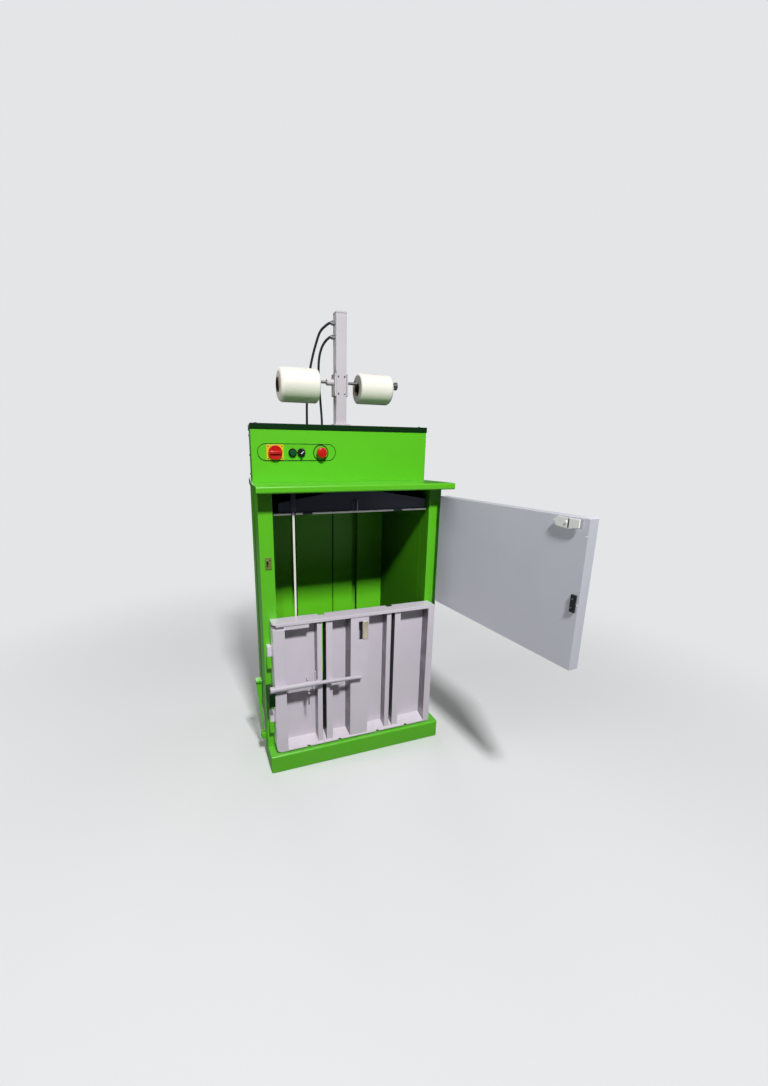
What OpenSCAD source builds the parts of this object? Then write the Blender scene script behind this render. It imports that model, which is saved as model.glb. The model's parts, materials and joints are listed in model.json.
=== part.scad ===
// Small upright waste baler: a ribbed press chamber behind a wide front frame,
// two side-hung doors, a hydraulic press plate and a cylinder tower with strap rolls.
// The origin is on the floor at the centre of the base, +Z is up and the doors face -Y.

/* [Base] */
// Depth of the base, front to back
base_d = 538; // [520:2:560]
// Height of the base
base_h = 69; // [60:1:90]
// How far the base stands in front of the posts
base_step = 69; // [64:1:90]
// How far the base stands out past the posts on each side
base_lip = 1; // [0.5:0.5:3]
// Width of the runner under the middle of the base
runner_w = 90; // [60:5:140]

/* [Frame] */
// Width over the two front posts
frame_w = 700; // [690:2:740]
// Width of each post
post_w = 50; // [46:1:54]
// Depth of each post
post_d = 60; // [50:1:70]
// Thickness of the welded sheet
sheet = 4; // [3:0.5:5]
// Depth of the ribs on the rear wall
rear_rib_d = 35; // [30:1:40]
// Thickness of the chamber floor
floor_t = 6; // [4:0.5:8]
// Height of the top plate's upper face above the floor
frame_h = 1060; // [1050:5:1120]
// Height of the folded edge of the top plate
flange_h = 23; // [18:1:30]
// How far the top plate hangs over the posts at the sides
flange_side = 13; // [10:1:20]
// How far the top plate hangs over the posts at the front
flange_front = 72; // [66:1:90]
// Depth of a stiffening rib on the chamber
rib_d = 26; // [16:1:28]
// Width of a stiffening rib at its foot
rib_w = 60; // [50:1:70]
// Distance of the first side rib behind the posts
rib_lead = 62; // [56:1:66]
// Distance from the first side rib to the second
rib_pitch = 78; // [70:1:90]
// How far the top plate hangs over the sides behind the posts
flange_mid = 6.5; // [5:0.5:10]
// How far the top plate draws in towards the back on each side
flange_taper = 38; // [34:1:40]

/* [Header] */
// How far the header cover stands in from the posts' outer sides
header_side = 6; // [4:1:10]
// How far the header cover draws in towards the back on each side
header_taper = 16; // [12:1:20]
// Depth of the header cover
header_d = 160; // [156:1:180]
// Height of the header cover with its lid
header_h = 203; // [196:1:240]
// How far the header cover stands behind the front of the posts
header_back = 127; // [124:1:132]
// Thickness of the header's sheet
cover_t = 2; // [1.5:0.5:3]
// Height of the lid's edge
lid_h = 20; // [16:1:26]

/* [Controls] */
// Height of the control row above the top plate
control_up = 104; // [98:1:110]
// Height of the control field
field_h = 61; // [58:1:66]
// Distance of the control field from the left end of the header
field_in = 20; // [16:1:24]
// Length of the control field
field_w = 290; // [284:1:296]
// Distance of the main switch from the left end of the field
switch_in = 63; // [60:1:66]
// Width of the main switch's yellow plate
switch_w = 61; // [56:1:64]
// Height of the main switch's yellow plate
switch_h = 53; // [50:1:56]
// Radius of the main switch's knob
switch_r = 25; // [20:0.5:25.5]
// Distance of the start button from the left end of the field
start_in = 126; // [124:1:128]
// Distance of the selector from the left end of the field
selector_in = 158; // [157:1:160]
// Outer radius of a button's bezel
bezel_r = 15; // [14:0.5:15.5]
// Radius of the start button and the selector
button_r = 11; // [9:0.5:11]
// Distance of the stop button from the left end of the field
stop_in = 232; // [230:1:236]
// Radius of the stop button's head
stop_r = 19; // [17:0.5:22]
// Radius of the ring behind the stop button
stop_ring_r = 29; // [26:0.5:30]
// Travel of the push buttons
button_travel = 4; // [2:0.5:5]

/* [Tower] */
// Width of the square tower
tower_w = 40; // [40:1:44]
// Height of the tower above the header's lid
tower_up = 387; // [377:1:437]
// Distance of the tower behind the front of the posts
tower_back = 180; // [176:1:190]
// Wall of the square tower
tower_t = 2.5; // [2:0.5:2.5]
// Bore of the hydraulic cylinder
bore_d = 26; // [24:1:27]
// Wall of the hydraulic cylinder
barrel_t = 4; // [3:0.5:4]
// Diameter of the piston rod
rod_d = 18; // [16:1:20]
// Running clearance, on the radius
run_fit = 0.05; // [0.03:0.01:0.08]
// Stroke of the press
stroke = 420; // [380:5:430]

/* [Press plate] */
// Distance of the raised plate's underside below the top plate
platen_drop = 105; // [100:1:120]
// Thickness of the plate
platen_t = 8; // [6:1:10]
// Clearance between the plate and the chamber's sides
platen_gap = 5; // [4:0.5:8]
// Gap between the front of the plate and the front of the posts
platen_front = 14; // [13:0.5:16]
// Gap between the platen and the rear wall
platen_back = 15; // [12:1:20]
// Height of the front web at its ends
web_end_h = 34; // [28:1:38]
// Height of the front web in the middle
web_mid_h = 82; // [70:1:84]
// Depth of the front notches
notch_d = 14; // [10:1:16]
// Width of the front notches
notch_w = 35; // [30:1:40]

/* [Straps] */
// Distance of the left strap channel from the middle
channel_left = 134; // [130:1:150]
// Distance of the right strap channel from the middle
channel_right = 160; // [140:1:165]
// Distance of the strap from the middle, on the left
strap_at = 225.5; // [200:0.5:250]
// Width of a strap
strap_w = 13; // [10:1:16]
// Thickness of a strap
strap_t = 1.2; // [0.8:0.1:1.5]
// Width of a strap channel's slot
slot_w = 24; // [20:1:28]

/* [Lower door] */
// Distance of the lower door's left edge from the frame's side
ld_left_in = 24; // [22:1:28]
// Distance of the lower door's right edge from the frame's side
ld_right_in = 36; // [34:1:38]
// Height of the lower door's bottom edge
ld_z0 = 75; // [74:1:78]
// Height of the lower door's top edge
ld_z1 = 589; // [580:1:590]
// Depth of the lower door
ld_d = 58; // [54:1:62]
// Thickness of the door's sheet
ld_t = 4; // [3:0.5:5]
// Width of the left stile
ld_left_w = 42; // [38:1:46]
// Width of the right stile
ld_right_w = 27; // [24:1:30]
// Height of the bottom ledge where it meets the sheet
ld_rail_h = 22; // [18:1:26]
// Height of the bottom ledge at its front edge
ld_face_h = 5; // [4:1:8]
// Half width of the middle rib's face
ld_rib_half = 36.5; // [30:0.5:40]
// Distance of each strap slot from the middle of the door
ld_slot_at = 138.5; // [134:0.5:144]
// Width of a strap slot in the door
ld_slot_w = 15; // [12:1:18]
// Width of the rib on the left of a strap slot
ld_bar_left = 19; // [17:1:22]
// Width of the rib on the right of a strap slot
ld_bar_right = 25; // [22:1:27]
// Height of the upper rest for the door's lugs
rest_upper_z = 455.5; // [450:0.5:460]
// Height of the lower rest for the door's lugs
rest_lower_z = 190; // [186:1:196]

/* [Upper door] */
// How far the upper door's free edge reaches over the left post
ud_lap = 5; // [4:0.5:8]
// Gap between the two doors
ud_door_gap = 9; // [7:1:12]
// Distance of the upper door's top edge below the top plate
ud_top_gap = 50; // [44:1:60]
// Thickness of the upper door
ud_d = 32; // [28:1:34]
// Opening angle of the upper door as it stands
ud_open = 93.3; // [85:0.1:100]

/* [Lock bar] */
// Height of the lock bar
lock_z = 346.5; // [340:0.5:355]
// Radius of the lock bar's bolt
lock_r = 10.5; // [9:0.5:11]
// Radius of the lock bar's handle
handle_r = 7; // [6:0.5:8]
// Distance of the hanging pin from the end of the near guide
pin_in = 12.5; // [8:0.5:16]
// Length of the hanging pin below its stud
pin_len = 49; // [44:1:60]

/* [Strap rolls] */
// Height of the roll axles above the header's lid
roll_up = 152; // [146:1:160]
// Radius of the left roll
roll_left_r = 59; // [54:0.5:60]
// Radius of the right roll
roll_right_r = 54; // [50:0.5:60]
// Length of the left roll
roll_left_len = 151; // [144:1:156]
// Length of the right roll
roll_right_len = 132; // [126:1:140]
// Distance of the left roll from the middle
roll_left_x = 84; // [82:0.5:88]
// Distance of the right roll from the middle
roll_right_x = 68; // [66:0.5:74]
// Radius of a roll's shoulders
roll_edge = 10; // [6:0.5:12]
// Radius of a roll's core, outside
core_r = 25; // [22:0.5:27]
// Wall of a roll's core
core_t = 3; // [2:0.5:4]
// Radius of a roll's axle
axle_r = 5; // [4:0.5:6]

/* [Ejector lever] */
// Height of the lever's pivot
lever_z = 92; // [90:1:98]
// Height of the lever's top
lever_top = 334; // [300:2:360]

/* [Hoses] */
// Radius of a hydraulic hose
hose_r = 4.5; // [4:0.5:5.5]

/* [Hidden] */
$fn = 48;
green = [0.36, 0.76, 0.13];
dark_green = [0.08, 0.30, 0.10];
pale = [0.74, 0.72, 0.75];
steel = [0.62, 0.63, 0.65];
dark_steel = [0.16, 0.17, 0.21];
black = [0.06, 0.06, 0.07];
white = [0.93, 0.93, 0.91];
rest_gap = 0.3;
eps = 0.01;

front_y = -base_d / 2 + base_step;
inner_x = frame_w / 2 - post_w;
outer_x = frame_w / 2;
wall_x = inner_x + sheet;
post_back_y = front_y + post_d;
base_back_y = base_d / 2;
rear_y = base_back_y - rear_rib_d - sheet;
roof_z = frame_h - sheet;
floor_z = base_h + floor_t;
rib_x = wall_x + rib_d;
base_rear_x = wall_x + 6;
flange_y0 = front_y - flange_front;
flange_y1 = base_back_y + sheet;
flange_x = outer_x + flange_side;
flange_mid_x = outer_x + flange_mid;
flange_mid_y = post_back_y + sheet;
flange_rear_x = outer_x - flange_taper;
tower_y = front_y + tower_back;

head_y0 = front_y + header_back;
head_y1 = head_y0 + header_d;
head_x = outer_x - header_side;
head_rear_x = head_x - header_taper;
head_top = frame_h + header_h;
lid_z = head_top - lid_h;
cap_z = head_top - cover_t;
tower_top = head_top + tower_up;

mount_t = 12;
mount_half = 50;
mount_z = frame_h + mount_t;
barrel_r = bore_d / 2 + barrel_t;
gland_h = 28;
gland_top = mount_z + gland_h;
cap_t = 6;
shroud_top = tower_top - cap_t;
end_cap_h = 8;
barrel_top = shroud_top - end_cap_h;
piston_h = 20;
piston_z = barrel_top - 56;

hose_x0 = -tower_w / 2 - 17;
upper_port_z = tower_top - 37;
lower_port_z = tower_top - 83;
block_top = frame_h + 90;
hose_end_z = block_top + 18;
hose_y = tower_y + 80;
upper_x = -107;
lower_x = -47;
upper_route = [
    [hose_x0, tower_y, upper_port_z],
    [-50, tower_y + 6, upper_port_z - 8], [-69, tower_y + 18, upper_port_z - 28],
    [-80, tower_y + 34, upper_port_z - 64], [-89, tower_y + 48, upper_port_z - 103],
    [-96, tower_y + 64, upper_port_z - 149], [-102, tower_y + 76, upper_port_z - 211],
    [-106, hose_y, upper_port_z - 267], [upper_x, hose_y, head_top + 24],
    [upper_x, hose_y, head_top - 8], [upper_x, hose_y, hose_end_z]
];
lower_route = [
    [hose_x0, tower_y, lower_port_z],
    [-50, tower_y + 6, lower_port_z - 11], [-62, tower_y + 18, lower_port_z - 31],
    [-68, tower_y + 34, lower_port_z - 62], [-67, tower_y + 50, lower_port_z - 104],
    [-61, tower_y + 64, lower_port_z - 154], [-55, tower_y + 72, lower_port_z - 206],
    [-49, hose_y, lower_port_z - 249], [lower_x, hose_y, head_top + 24],
    [lower_x, hose_y, head_top - 8], [lower_x, hose_y, hose_end_z]
];

platen_z = frame_h - platen_drop;
platen_x = inner_x - platen_gap;
platen_y0 = front_y + platen_front;
strap_y = platen_y0 + 1.5;
platen_y1 = rear_y - platen_back;
platen_top = platen_z + platen_t;
web_t = 6;
boss_h = 22;

rear_channels = [-channel_left, channel_right];
strap_x = -strap_at;

door_gap = 0.5;
ld_x0 = -outer_x + ld_left_in;
ld_x1 = outer_x - ld_right_in;
ld_y1 = front_y - door_gap;
ld_y0 = ld_y1 - ld_d;
panel_y1 = ld_y1 - 6;
panel_y0 = panel_y1 - ld_t - 2;
rib_y0 = ld_y0 + 8;
ld_hinge_x = ld_x1 + 16;
ld_hinge_y = front_y - 14;
ld_knuckle_r = 8;
slots = [-ld_slot_at, ld_slot_at];
lug_reach = 16;
lug_h = 39;
rests = [rest_lower_z, rest_upper_z];

ud_hinge_x = outer_x - 5;
ud_hinge_y = front_y - 20;
ud_knuckle_r = 9;
ud_in = 18;
ud_s0 = 11;
ud_len = ud_hinge_x + inner_x + ud_lap;
ud_z0 = ld_z1 + ud_door_gap;
ud_z1 = frame_h - ud_top_gap;
interlock_z = ud_z0 + 190;
pin_r = 4;

lock_y = ld_y0 - 12;
bolt_x0 = -outer_x + 8;
bar_x0 = -ld_slot_at - ld_slot_w / 2 - ld_bar_left;
guide_x1 = bar_x0 - 30;
collar_x = bar_x0;
pin_x = -guide_x1 + pin_in;
handle_x1 = 2;
guide_y = ld_y0 - 20;
guide_z0 = lock_z - 18.5;
guide_top = lock_z - 2.5;
stud_r = 3;
stud_z = lock_z - 26.5;

lever_x = -outer_x - 9;
lever_y = post_back_y - 10;
lever_half = 5;
ear_t = 5;

roll_z = head_top + roll_up;
core_bore = core_r - core_t;
roll_centre_z = roll_z - (core_bore - axle_r - rest_gap);

field_t = 1.2;
field_y = head_y0 - field_t;
field_x0 = -head_x + field_in;
field_x1 = field_x0 + field_w;
switch_x = field_x0 + switch_in;
start_x = field_x0 + start_in;
selector_x = field_x0 + selector_in;
stop_x = field_x0 + stop_in;
control_z = frame_h + control_up;
contact_depth = 40;
contact_y1 = head_y0 + cover_t + button_travel + 2 + contact_depth;
field_r = field_h / 2;
field_z = control_z + 1.5;
plate_t = 3;

// A box between low and high corners on each axis
module block(x, y, z) {
    translate([x[0], y[0], z[0]])
        cube([x[1] - x[0], y[1] - y[0], z[1] - z[0]]);
}

// Round bars along each axis
module bar_x(x, y, z, r) {
    translate([x[0], y, z])
        rotate([0, 90, 0])
            cylinder(r = r, h = x[1] - x[0]);
}

module bar_y(x, y, z, r) {
    translate([x, y[0], z])
        rotate([-90, 0, 0])
            cylinder(r = r, h = y[1] - y[0]);
}

module bar_z(x, y, z, r) {
    translate([x, y, z[0]])
        cylinder(r = r, h = z[1] - z[0]);
}

// An open-bottomed tray of folded sheet
module tray(x, y, z, t) {
    difference() {
        block(x, y, z);
        block([x[0] + t, x[1] - t], [y[0] + t, y[1] - t], [z[0] - 1, z[1] - t]);
    }
}

// A top-hat rib: its foot lies on the XZ plane, its face at depth d, it runs along +Z
module hat(w, d, len, t, slope) {
    linear_extrude(height = len)
        polygon([
            [-w / 2, 0], [-w / 2 + slope, d], [w / 2 - slope, d], [w / 2, 0],
            [w / 2 - t, 0], [w / 2 - slope - t, d - t],
            [-w / 2 + slope + t, d - t], [-w / 2 + t, 0]
        ]);
}

module base_plinth() {
    color(green) {
        tray([-outer_x - base_lip, outer_x + base_lip], [-base_d / 2, post_back_y],
             [0, base_h], sheet);
        tray([-base_rear_x, base_rear_x], [post_back_y - sheet, base_back_y],
             [0, base_h], sheet);
        block([-runner_w / 2, runner_w / 2], [-base_d / 2 + 1, base_back_y - 1], [0, sheet]);
        for (side = [-1, 1])
            block([side * runner_w / 2 - sheet / 2, side * runner_w / 2 + sheet / 2],
                  [-base_d / 2 + 1, base_back_y - 1], [0, base_h - 1]);
    }
}

module chamber_floor() {
    color(green)
        difference() {
            block([-inner_x, inner_x], [front_y, rear_y], [base_h, floor_z]);
            for (x = rear_channels)
                block([x - slot_w / 2, x + slot_w / 2], [front_y - 1, rear_y + 1],
                      [floor_z - floor_t / 2, floor_z + 1]);
        }
}

module post(side) {
    x0 = side > 0 ? inner_x : -outer_x;
    color(green)
        difference() {
            block([x0, x0 + post_w], [front_y, post_back_y], [base_h, roof_z]);
            block([x0 + sheet, x0 + post_w - sheet], [front_y + sheet, post_back_y - sheet],
                  [base_h - 1, roof_z + 1]);
        }
}

// A chamber side with two deep upright ribs and a shallow one at the back
module side_wall(side) {
    shallow = 11;
    color(green) {
        x0 = side > 0 ? inner_x : -wall_x;
        block([x0, x0 + sheet], [post_back_y, base_back_y], [base_h, roof_z]);
        first_y = post_back_y + rib_lead;
        for (r = [[first_y, rib_d], [first_y + rib_pitch, rib_d], [rear_y - 40, shallow]])
            translate([side * wall_x, r[0], base_h])
                rotate([0, 0, -90 * side])
                    hat(rib_w, r[1], roof_z - flange_h - base_h, sheet, r[1] / 4);
    }
}

module rear_wall() {
    seam_w = 8;
    seam_x = 50;
    hat_d = rear_rib_d;
    color(green)
        difference() {
            union() {
                block([-inner_x, inner_x], [rear_y, rear_y + sheet], [base_h, roof_z]);
                for (x = concat(rear_channels, [0]))
                    translate([x, rear_y + sheet, base_h])
                        hat(rib_w, hat_d, roof_z - base_h, sheet, hat_d / 4);
            }
            for (x = rear_channels)
                block([x - slot_w / 2, x + slot_w / 2], [rear_y - 1, rear_y + sheet + eps],
                      [floor_z + 20, roof_z - 70]);
            block([seam_x - seam_w / 2, seam_x + seam_w / 2], [rear_y - 1, rear_y + sheet / 2],
                  [floor_z + 20, roof_z + 1]);
        }
}

// The plan of the top plate, drawn in by g all round
module flange_plan(g) {
    polygon([
        [-flange_x + g, flange_y0 + g], [flange_x - g, flange_y0 + g],
        [flange_mid_x - g, flange_mid_y], [flange_rear_x - g, flange_y1 - g],
        [-flange_rear_x + g, flange_y1 - g], [-flange_mid_x + g, flange_mid_y]
    ]);
}

module top_flange() {
    color(green)
        difference() {
            translate([0, 0, frame_h - flange_h])
                linear_extrude(height = flange_h)
                    flange_plan(0);
            translate([0, 0, frame_h - flange_h - 1])
                linear_extrude(height = flange_h + 1 - sheet)
                    flange_plan(sheet);
            bar_z(0, tower_y, [roof_z - 1, frame_h + 1], rod_d / 2 + 3);
        }
}

// The plan of the header, drawn in by g at the front and the sides and reaching to y1
module header_plan(g, y1) {
    polygon([
        [-head_x + g, head_y0 + g], [head_x - g, head_y0 + g],
        [head_rear_x - g, y1], [-head_rear_x + g, y1]
    ]);
}

module header_cover() {
    color(green)
        difference() {
            translate([0, 0, frame_h])
                linear_extrude(height = cap_z - frame_h)
                    header_plan(0, head_y1);
            translate([0, 0, frame_h - 1])
                linear_extrude(height = cap_z - frame_h + 2)
                    header_plan(cover_t, head_y1 + 1);
            bar_y(switch_x, [head_y0 - 1, head_y0 + cover_t + 1], control_z, 8);
            for (x = [start_x, selector_x, stop_x])
                bar_y(x, [head_y0 - 1, head_y0 + cover_t + 1], control_z, button_r + rest_gap);
        }
}

module header_rear_panel() {
    louvres = 7;
    louvre_w = 90;
    louvre_h = 5;
    pitch = 15;
    color(green)
        difference() {
            block([-head_rear_x + cover_t, head_rear_x - cover_t], [head_y1 - cover_t, head_y1],
                  [frame_h, cap_z]);
            for (x = [-170, 170])
                for (i = [0:louvres - 1])
                    block([x - louvre_w / 2, x + louvre_w / 2], [head_y1 - cover_t - 1, head_y1 + 1],
                          [frame_h + 50 + i * pitch, frame_h + 50 + i * pitch + louvre_h]);
            bar_y(0, [head_y1 - cover_t - 1, head_y1 + 1], frame_h + 40, 8);
        }
}

module header_lid() {
    color(dark_green)
        difference() {
            translate([0, 0, lid_z])
                linear_extrude(height = lid_h)
                    header_plan(-cover_t, head_y1 + cover_t);
            translate([0, 0, lid_z - 1])
                linear_extrude(height = lid_h + 1 - cover_t)
                    header_plan(0, head_y1);
            translate([0, tower_y, cap_z - 1])
                linear_extrude(height = cover_t + 2)
                    square(tower_w + 1, center = true);
            for (x = [upper_x, lower_x])
                bar_z(x, hose_y, [cap_z - 1, head_top + 1], hose_r + 2);
        }
}

module rounded_square(w, r) {
    square([w, w - 2 * r], center = true);
    square([w - 2 * r, w], center = true);
    for (x = [-1, 1], y = [-1, 1])
        translate([x * (w / 2 - r), y * (w / 2 - r)])
            circle(r = r);
}

module cylinder_mount() {
    bolt_at = mount_half - 13;
    color(steel) {
        difference() {
            block([-mount_half, mount_half], [tower_y - mount_half + 2, tower_y + mount_half - 2],
                  [frame_h, mount_z]);
            bar_z(0, tower_y, [frame_h - 1, mount_z + 1], rod_d / 2 + 3);
        }
        for (x = [-bolt_at, bolt_at], y = [-bolt_at, bolt_at])
            translate([x, tower_y + y, mount_z])
                cylinder(r = 10, h = 7, $fn = 6);
    }
}

module cylinder_shroud() {
    color(pale)
        difference() {
            translate([0, tower_y, mount_z])
                linear_extrude(height = shroud_top - mount_z)
                    difference() {
                        rounded_square(tower_w, 4);
                        square(tower_w - 2 * tower_t, center = true);
                    }
            for (z = [upper_port_z, lower_port_z])
                bar_x([-tower_w / 2 - 1, -tower_w / 2 + tower_t + 1], tower_y, z, 6);
        }
}

module tower_cap() {
    color(steel)
        translate([0, tower_y, shroud_top])
            linear_extrude(height = cap_t)
                rounded_square(tower_w + 1, 4);
}

module tower_foot() {
    foot_w = 66;
    color(pale)
        difference() {
            block([-foot_w / 2, foot_w / 2], [tower_y - foot_w / 2, tower_y + foot_w / 2],
                  [head_top, head_top + 5]);
            translate([0, tower_y, head_top - 1])
                linear_extrude(height = 7)
                    square(tower_w + 2 * rest_gap, center = true);
        }
}

module cylinder_barrel() {
    color(steel)
        translate([0, tower_y, 0])
            difference() {
                bar_z(0, 0, [gland_top, shroud_top], barrel_r);
                bar_z(0, 0, [gland_top - 1, barrel_top], bore_d / 2);
                bar_x([-barrel_r - 1, 0], 0, upper_port_z, 4);
            }
}

module rod_gland() {
    color(steel)
        translate([0, tower_y, 0])
            difference() {
                bar_z(0, 0, [mount_z, gland_top], barrel_r);
                bar_z(0, 0, [mount_z - 1, gland_top + 1], rod_d / 2 + run_fit);
            }
}

module roll_bracket() {
    plate_h = 78;
    plate_t0 = 6;
    hub_r = 11;
    color(pale)
        for (side = [-1, 1]) {
            x0 = side > 0 ? tower_w / 2 : -tower_w / 2 - plate_t0;
            hub_len = side > 0 ? 4 : 26;
            hub_x0 = side > 0 ? x0 + plate_t0 : x0 - hub_len;
            difference() {
                union() {
                    block([x0, x0 + plate_t0], [tower_y - tower_w / 2, tower_y + tower_w / 2],
                          [roll_z - plate_h * 0.62, roll_z + plate_h * 0.38]);
                    bar_x([hub_x0 - eps, hub_x0 + hub_len + eps], tower_y, roll_z, hub_r);
                }
                bar_x([min(x0, hub_x0) - 1, max(x0, hub_x0) + hub_len + 7], tower_y, roll_z, axle_r);
            }
        }
}

module roll_axles() {
    disc_r = 14;
    disc_t = 10;
    collar_r = 9;
    right_tip = roll_right_x + roll_right_len + 22;
    color(steel) {
        bar_x([-roll_left_x - roll_left_len + 6, -tower_w / 2], tower_y, roll_z, axle_r);
        bar_x([-roll_left_x + rest_gap, -roll_left_x + 8], tower_y, roll_z, collar_r);
        bar_x([tower_w / 2, right_tip], tower_y, roll_z, axle_r);
        bar_x([right_tip - eps, right_tip + disc_t], tower_y, roll_z, disc_r);
        bar_x([roll_right_x - 8, roll_right_x - rest_gap], tower_y, roll_z, collar_r);
    }
}

// A wound roll on its core, hanging on the axle: it starts at near and runs away from the tower
module strap_roll(side, near, r, len) {
    color(white)
        mirror([side > 0 ? 0 : 1, 0, 0])
            translate([near, tower_y, roll_centre_z])
                rotate([0, 90, 0])
                    rotate_extrude($fn = 72)
                        polygon(concat(
                            [[core_r, 0]],
                            [for (a = [0:30:90])
                                [r - roll_edge + roll_edge * sin(a), roll_edge - roll_edge * cos(a)]],
                            [for (a = [90:-30:0])
                                [r - roll_edge + roll_edge * sin(a), len - roll_edge + roll_edge * cos(a)]],
                            [[core_r, len]]
                        ));
}

module roll_core(side, near, len) {
    color([0.30, 0.24, 0.18])
        mirror([side > 0 ? 0 : 1, 0, 0])
            translate([near, tower_y, roll_centre_z])
                rotate([0, 90, 0])
                    difference() {
                        cylinder(r = core_r, h = len);
                        translate([0, 0, -1])
                            cylinder(r = core_bore, h = len + 2);
                    }
}

module hose_fittings() {
    nut_r = 8.5;
    color(steel) {
        for (z = [upper_port_z, lower_port_z]) {
            bar_x([-tower_w / 2 - 6, -tower_w / 2 + tower_t], tower_y, z, 5.8);
            translate([-tower_w / 2 - 11, tower_y, z])
                rotate([0, 90, 0])
                    cylinder(r = nut_r, h = 9, $fn = 6);
            bar_x([hose_x0, -tower_w / 2 - 10], tower_y, z, hose_r + 1);
        }
        for (x = [upper_x, lower_x]) {
            bar_z(x, hose_y, [block_top, hose_end_z], hose_r + 1);
            difference() {
                bar_z(x, hose_y, [head_top, head_top + 5], hose_r + 5);
                bar_z(x, hose_y, [head_top - 1, head_top + 6], hose_r + 1);
            }
        }
    }
}

// Catmull-Rom points along a route
function curve_point(a, b, c, d, t) =
    0.5 * (2 * b + (c - a) * t + (2 * a - 5 * b + 4 * c - d) * t * t
           + (3 * b - a - 3 * c + d) * t * t * t);
function route_curve(p, steps) = let (n = len(p)) concat(
    [for (i = [0:n - 2], k = [0:steps - 1])
        curve_point(p[max(i - 1, 0)], p[i], p[i + 1], p[min(i + 2, n - 1)], k / steps)],
    [p[n - 1]]
);
function unit(v) = v / norm(v);

// A tube of given radius swept along a list of points; its ends face the given directions
module swept_tube(path, r, sides, first_dir, last_dir) {
    n = len(path);
    dirs = [for (i = [0:n - 1])
        i == 0 ? first_dir : i == n - 1 ? last_dir : unit(path[i + 1] - path[i - 1])];
    ref = [0, 1, 0];
    rings = [for (i = [0:n - 1])
        let (u = unit(cross(dirs[i], ref)), v = cross(dirs[i], u))
            for (k = [0:sides - 1])
                path[i] + r * (cos(360 * k / sides) * u + sin(360 * k / sides) * v)];
    faces = concat(
        [[for (k = [0:sides - 1]) k]],
        [for (i = [0:n - 2], k = [0:sides - 1])
            [i * sides + k, (i + 1) * sides + k, (i + 1) * sides + (k + 1) % sides,
             i * sides + (k + 1) % sides]],
        [[for (k = [0:sides - 1]) (n - 1) * sides + sides - 1 - k]]
    );
    polyhedron(points = rings, faces = faces, convexity = 4);
}

module hose(route) {
    color(black)
        swept_tube(route_curve(route, 4), hose_r, 12, [-1, 0, 0], [0, 0, -1]);
}

module valve_block() {
    color(dark_steel) {
        block([upper_x - 20, lower_x + 18], [hose_y - 18, hose_y + 18], [frame_h + 30, block_top]);
        block([upper_x + 12, upper_x + 48], [hose_y - 15, hose_y + 15], [frame_h, frame_h + 30]);
        bar_x([upper_x - 44, upper_x - 20], hose_y, frame_h + 60, 14);
    }
}

module pump_motor() {
    motor_r = 52;
    motor_x1 = head_rear_x - 60;
    motor_x0 = motor_x1 - 190;
    motor_z = frame_h + 66;
    motor_y = head_y0 + header_d / 2;
    fins = 9;
    pitch = (motor_x1 - motor_x0 - 40) / fins;
    color(dark_steel) {
        bar_x([motor_x0, motor_x1], motor_y, motor_z, motor_r - 6);
        for (i = [0:fins])
            bar_x([motor_x0 + 18 + i * pitch, motor_x0 + 22 + i * pitch], motor_y, motor_z, motor_r);
        bar_x([motor_x1 - eps, motor_x1 + 30], motor_y, motor_z, motor_r - 2);
        block([motor_x0 + 30, motor_x1 - 30], [motor_y - 40, motor_y + 40], [frame_h, motor_z - 36]);
        block([motor_x0 + 50, motor_x1 - 70], [motor_y - 28, motor_y + 28],
              [motor_z + 30, motor_z + motor_r + 22]);
    }
}

module oil_tank() {
    tank_z1 = frame_h + 120;
    tank_x0 = -head_rear_x + 8;
    filler_r = 16;
    color(dark_steel) {
        block([tank_x0, upper_x - 46], [contact_y1 + 11, head_y1 - 8], [frame_h, tank_z1]);
        bar_z(tank_x0 + 30, contact_y1 + 55, [tank_z1 - eps, tank_z1 + 18], filler_r);
    }
}

module relay_box() {
    color([0.55, 0.56, 0.58])
        block([6, 66], [head_y0 + cover_t, tower_y - tower_w / 2 - 6], [frame_h + 100, frame_h + 185]);
}

module cable_gland() {
    color(black)
        difference() {
            union() {
                bar_y(0, [head_y1 - cover_t - 10, head_y1 + 4], frame_h + 40, 7.8);
                translate([0, head_y1, frame_h + 40])
                    rotate([-90, 0, 0])
                        cylinder(r = 12, h = 7, $fn = 6);
                bar_y(0, [head_y1 + 6, head_y1 + 16], frame_h + 40, 9);
            }
            bar_y(0, [head_y1 - cover_t - 11, head_y1 + 17], frame_h + 40, 4);
        }
}

// A flat shape with round ends, standing in the XZ plane and running back from y
module stadium(x0, x1, z, r, y, t) {
    translate([0, y + t, 0])
        rotate([90, 0, 0])
            linear_extrude(height = t) {
                translate([x0 + r, z - r])
                    square([x1 - x0 - 2 * r, 2 * r]);
                for (x = [x0 + r, x1 - r])
                    translate([x, z])
                        circle(r = r);
            }
}

module control_field() {
    color(green)
        difference() {
            stadium(field_x0, field_x1, field_z, field_r, field_y, field_t);
            bar_y(switch_x, [field_y - 1, head_y0 + 1], control_z, 8);
            for (x = [start_x, selector_x, stop_x])
                bar_y(x, [field_y - 1, head_y0 + 1], control_z, button_r + rest_gap);
        }
}

module contact_blocks() {
    y0 = contact_y1 - contact_depth;
    color(black) {
        difference() {
            block([switch_x - 22, switch_x + 22], [head_y0 + cover_t, contact_y1],
                  [control_z - 22, control_z + 22]);
            bar_y(switch_x, [head_y0 + cover_t - 1, head_y0 + cover_t + 14], control_z, 8);
        }
        for (x = [start_x, selector_x, stop_x])
            difference() {
                block([x - 14, x + 14], [head_y0 + cover_t, contact_y1],
                      [control_z - 16, control_z + 16]);
                bar_y(x, [head_y0 + cover_t - 1, y0], control_z, button_r + rest_gap);
            }
    }
}

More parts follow.
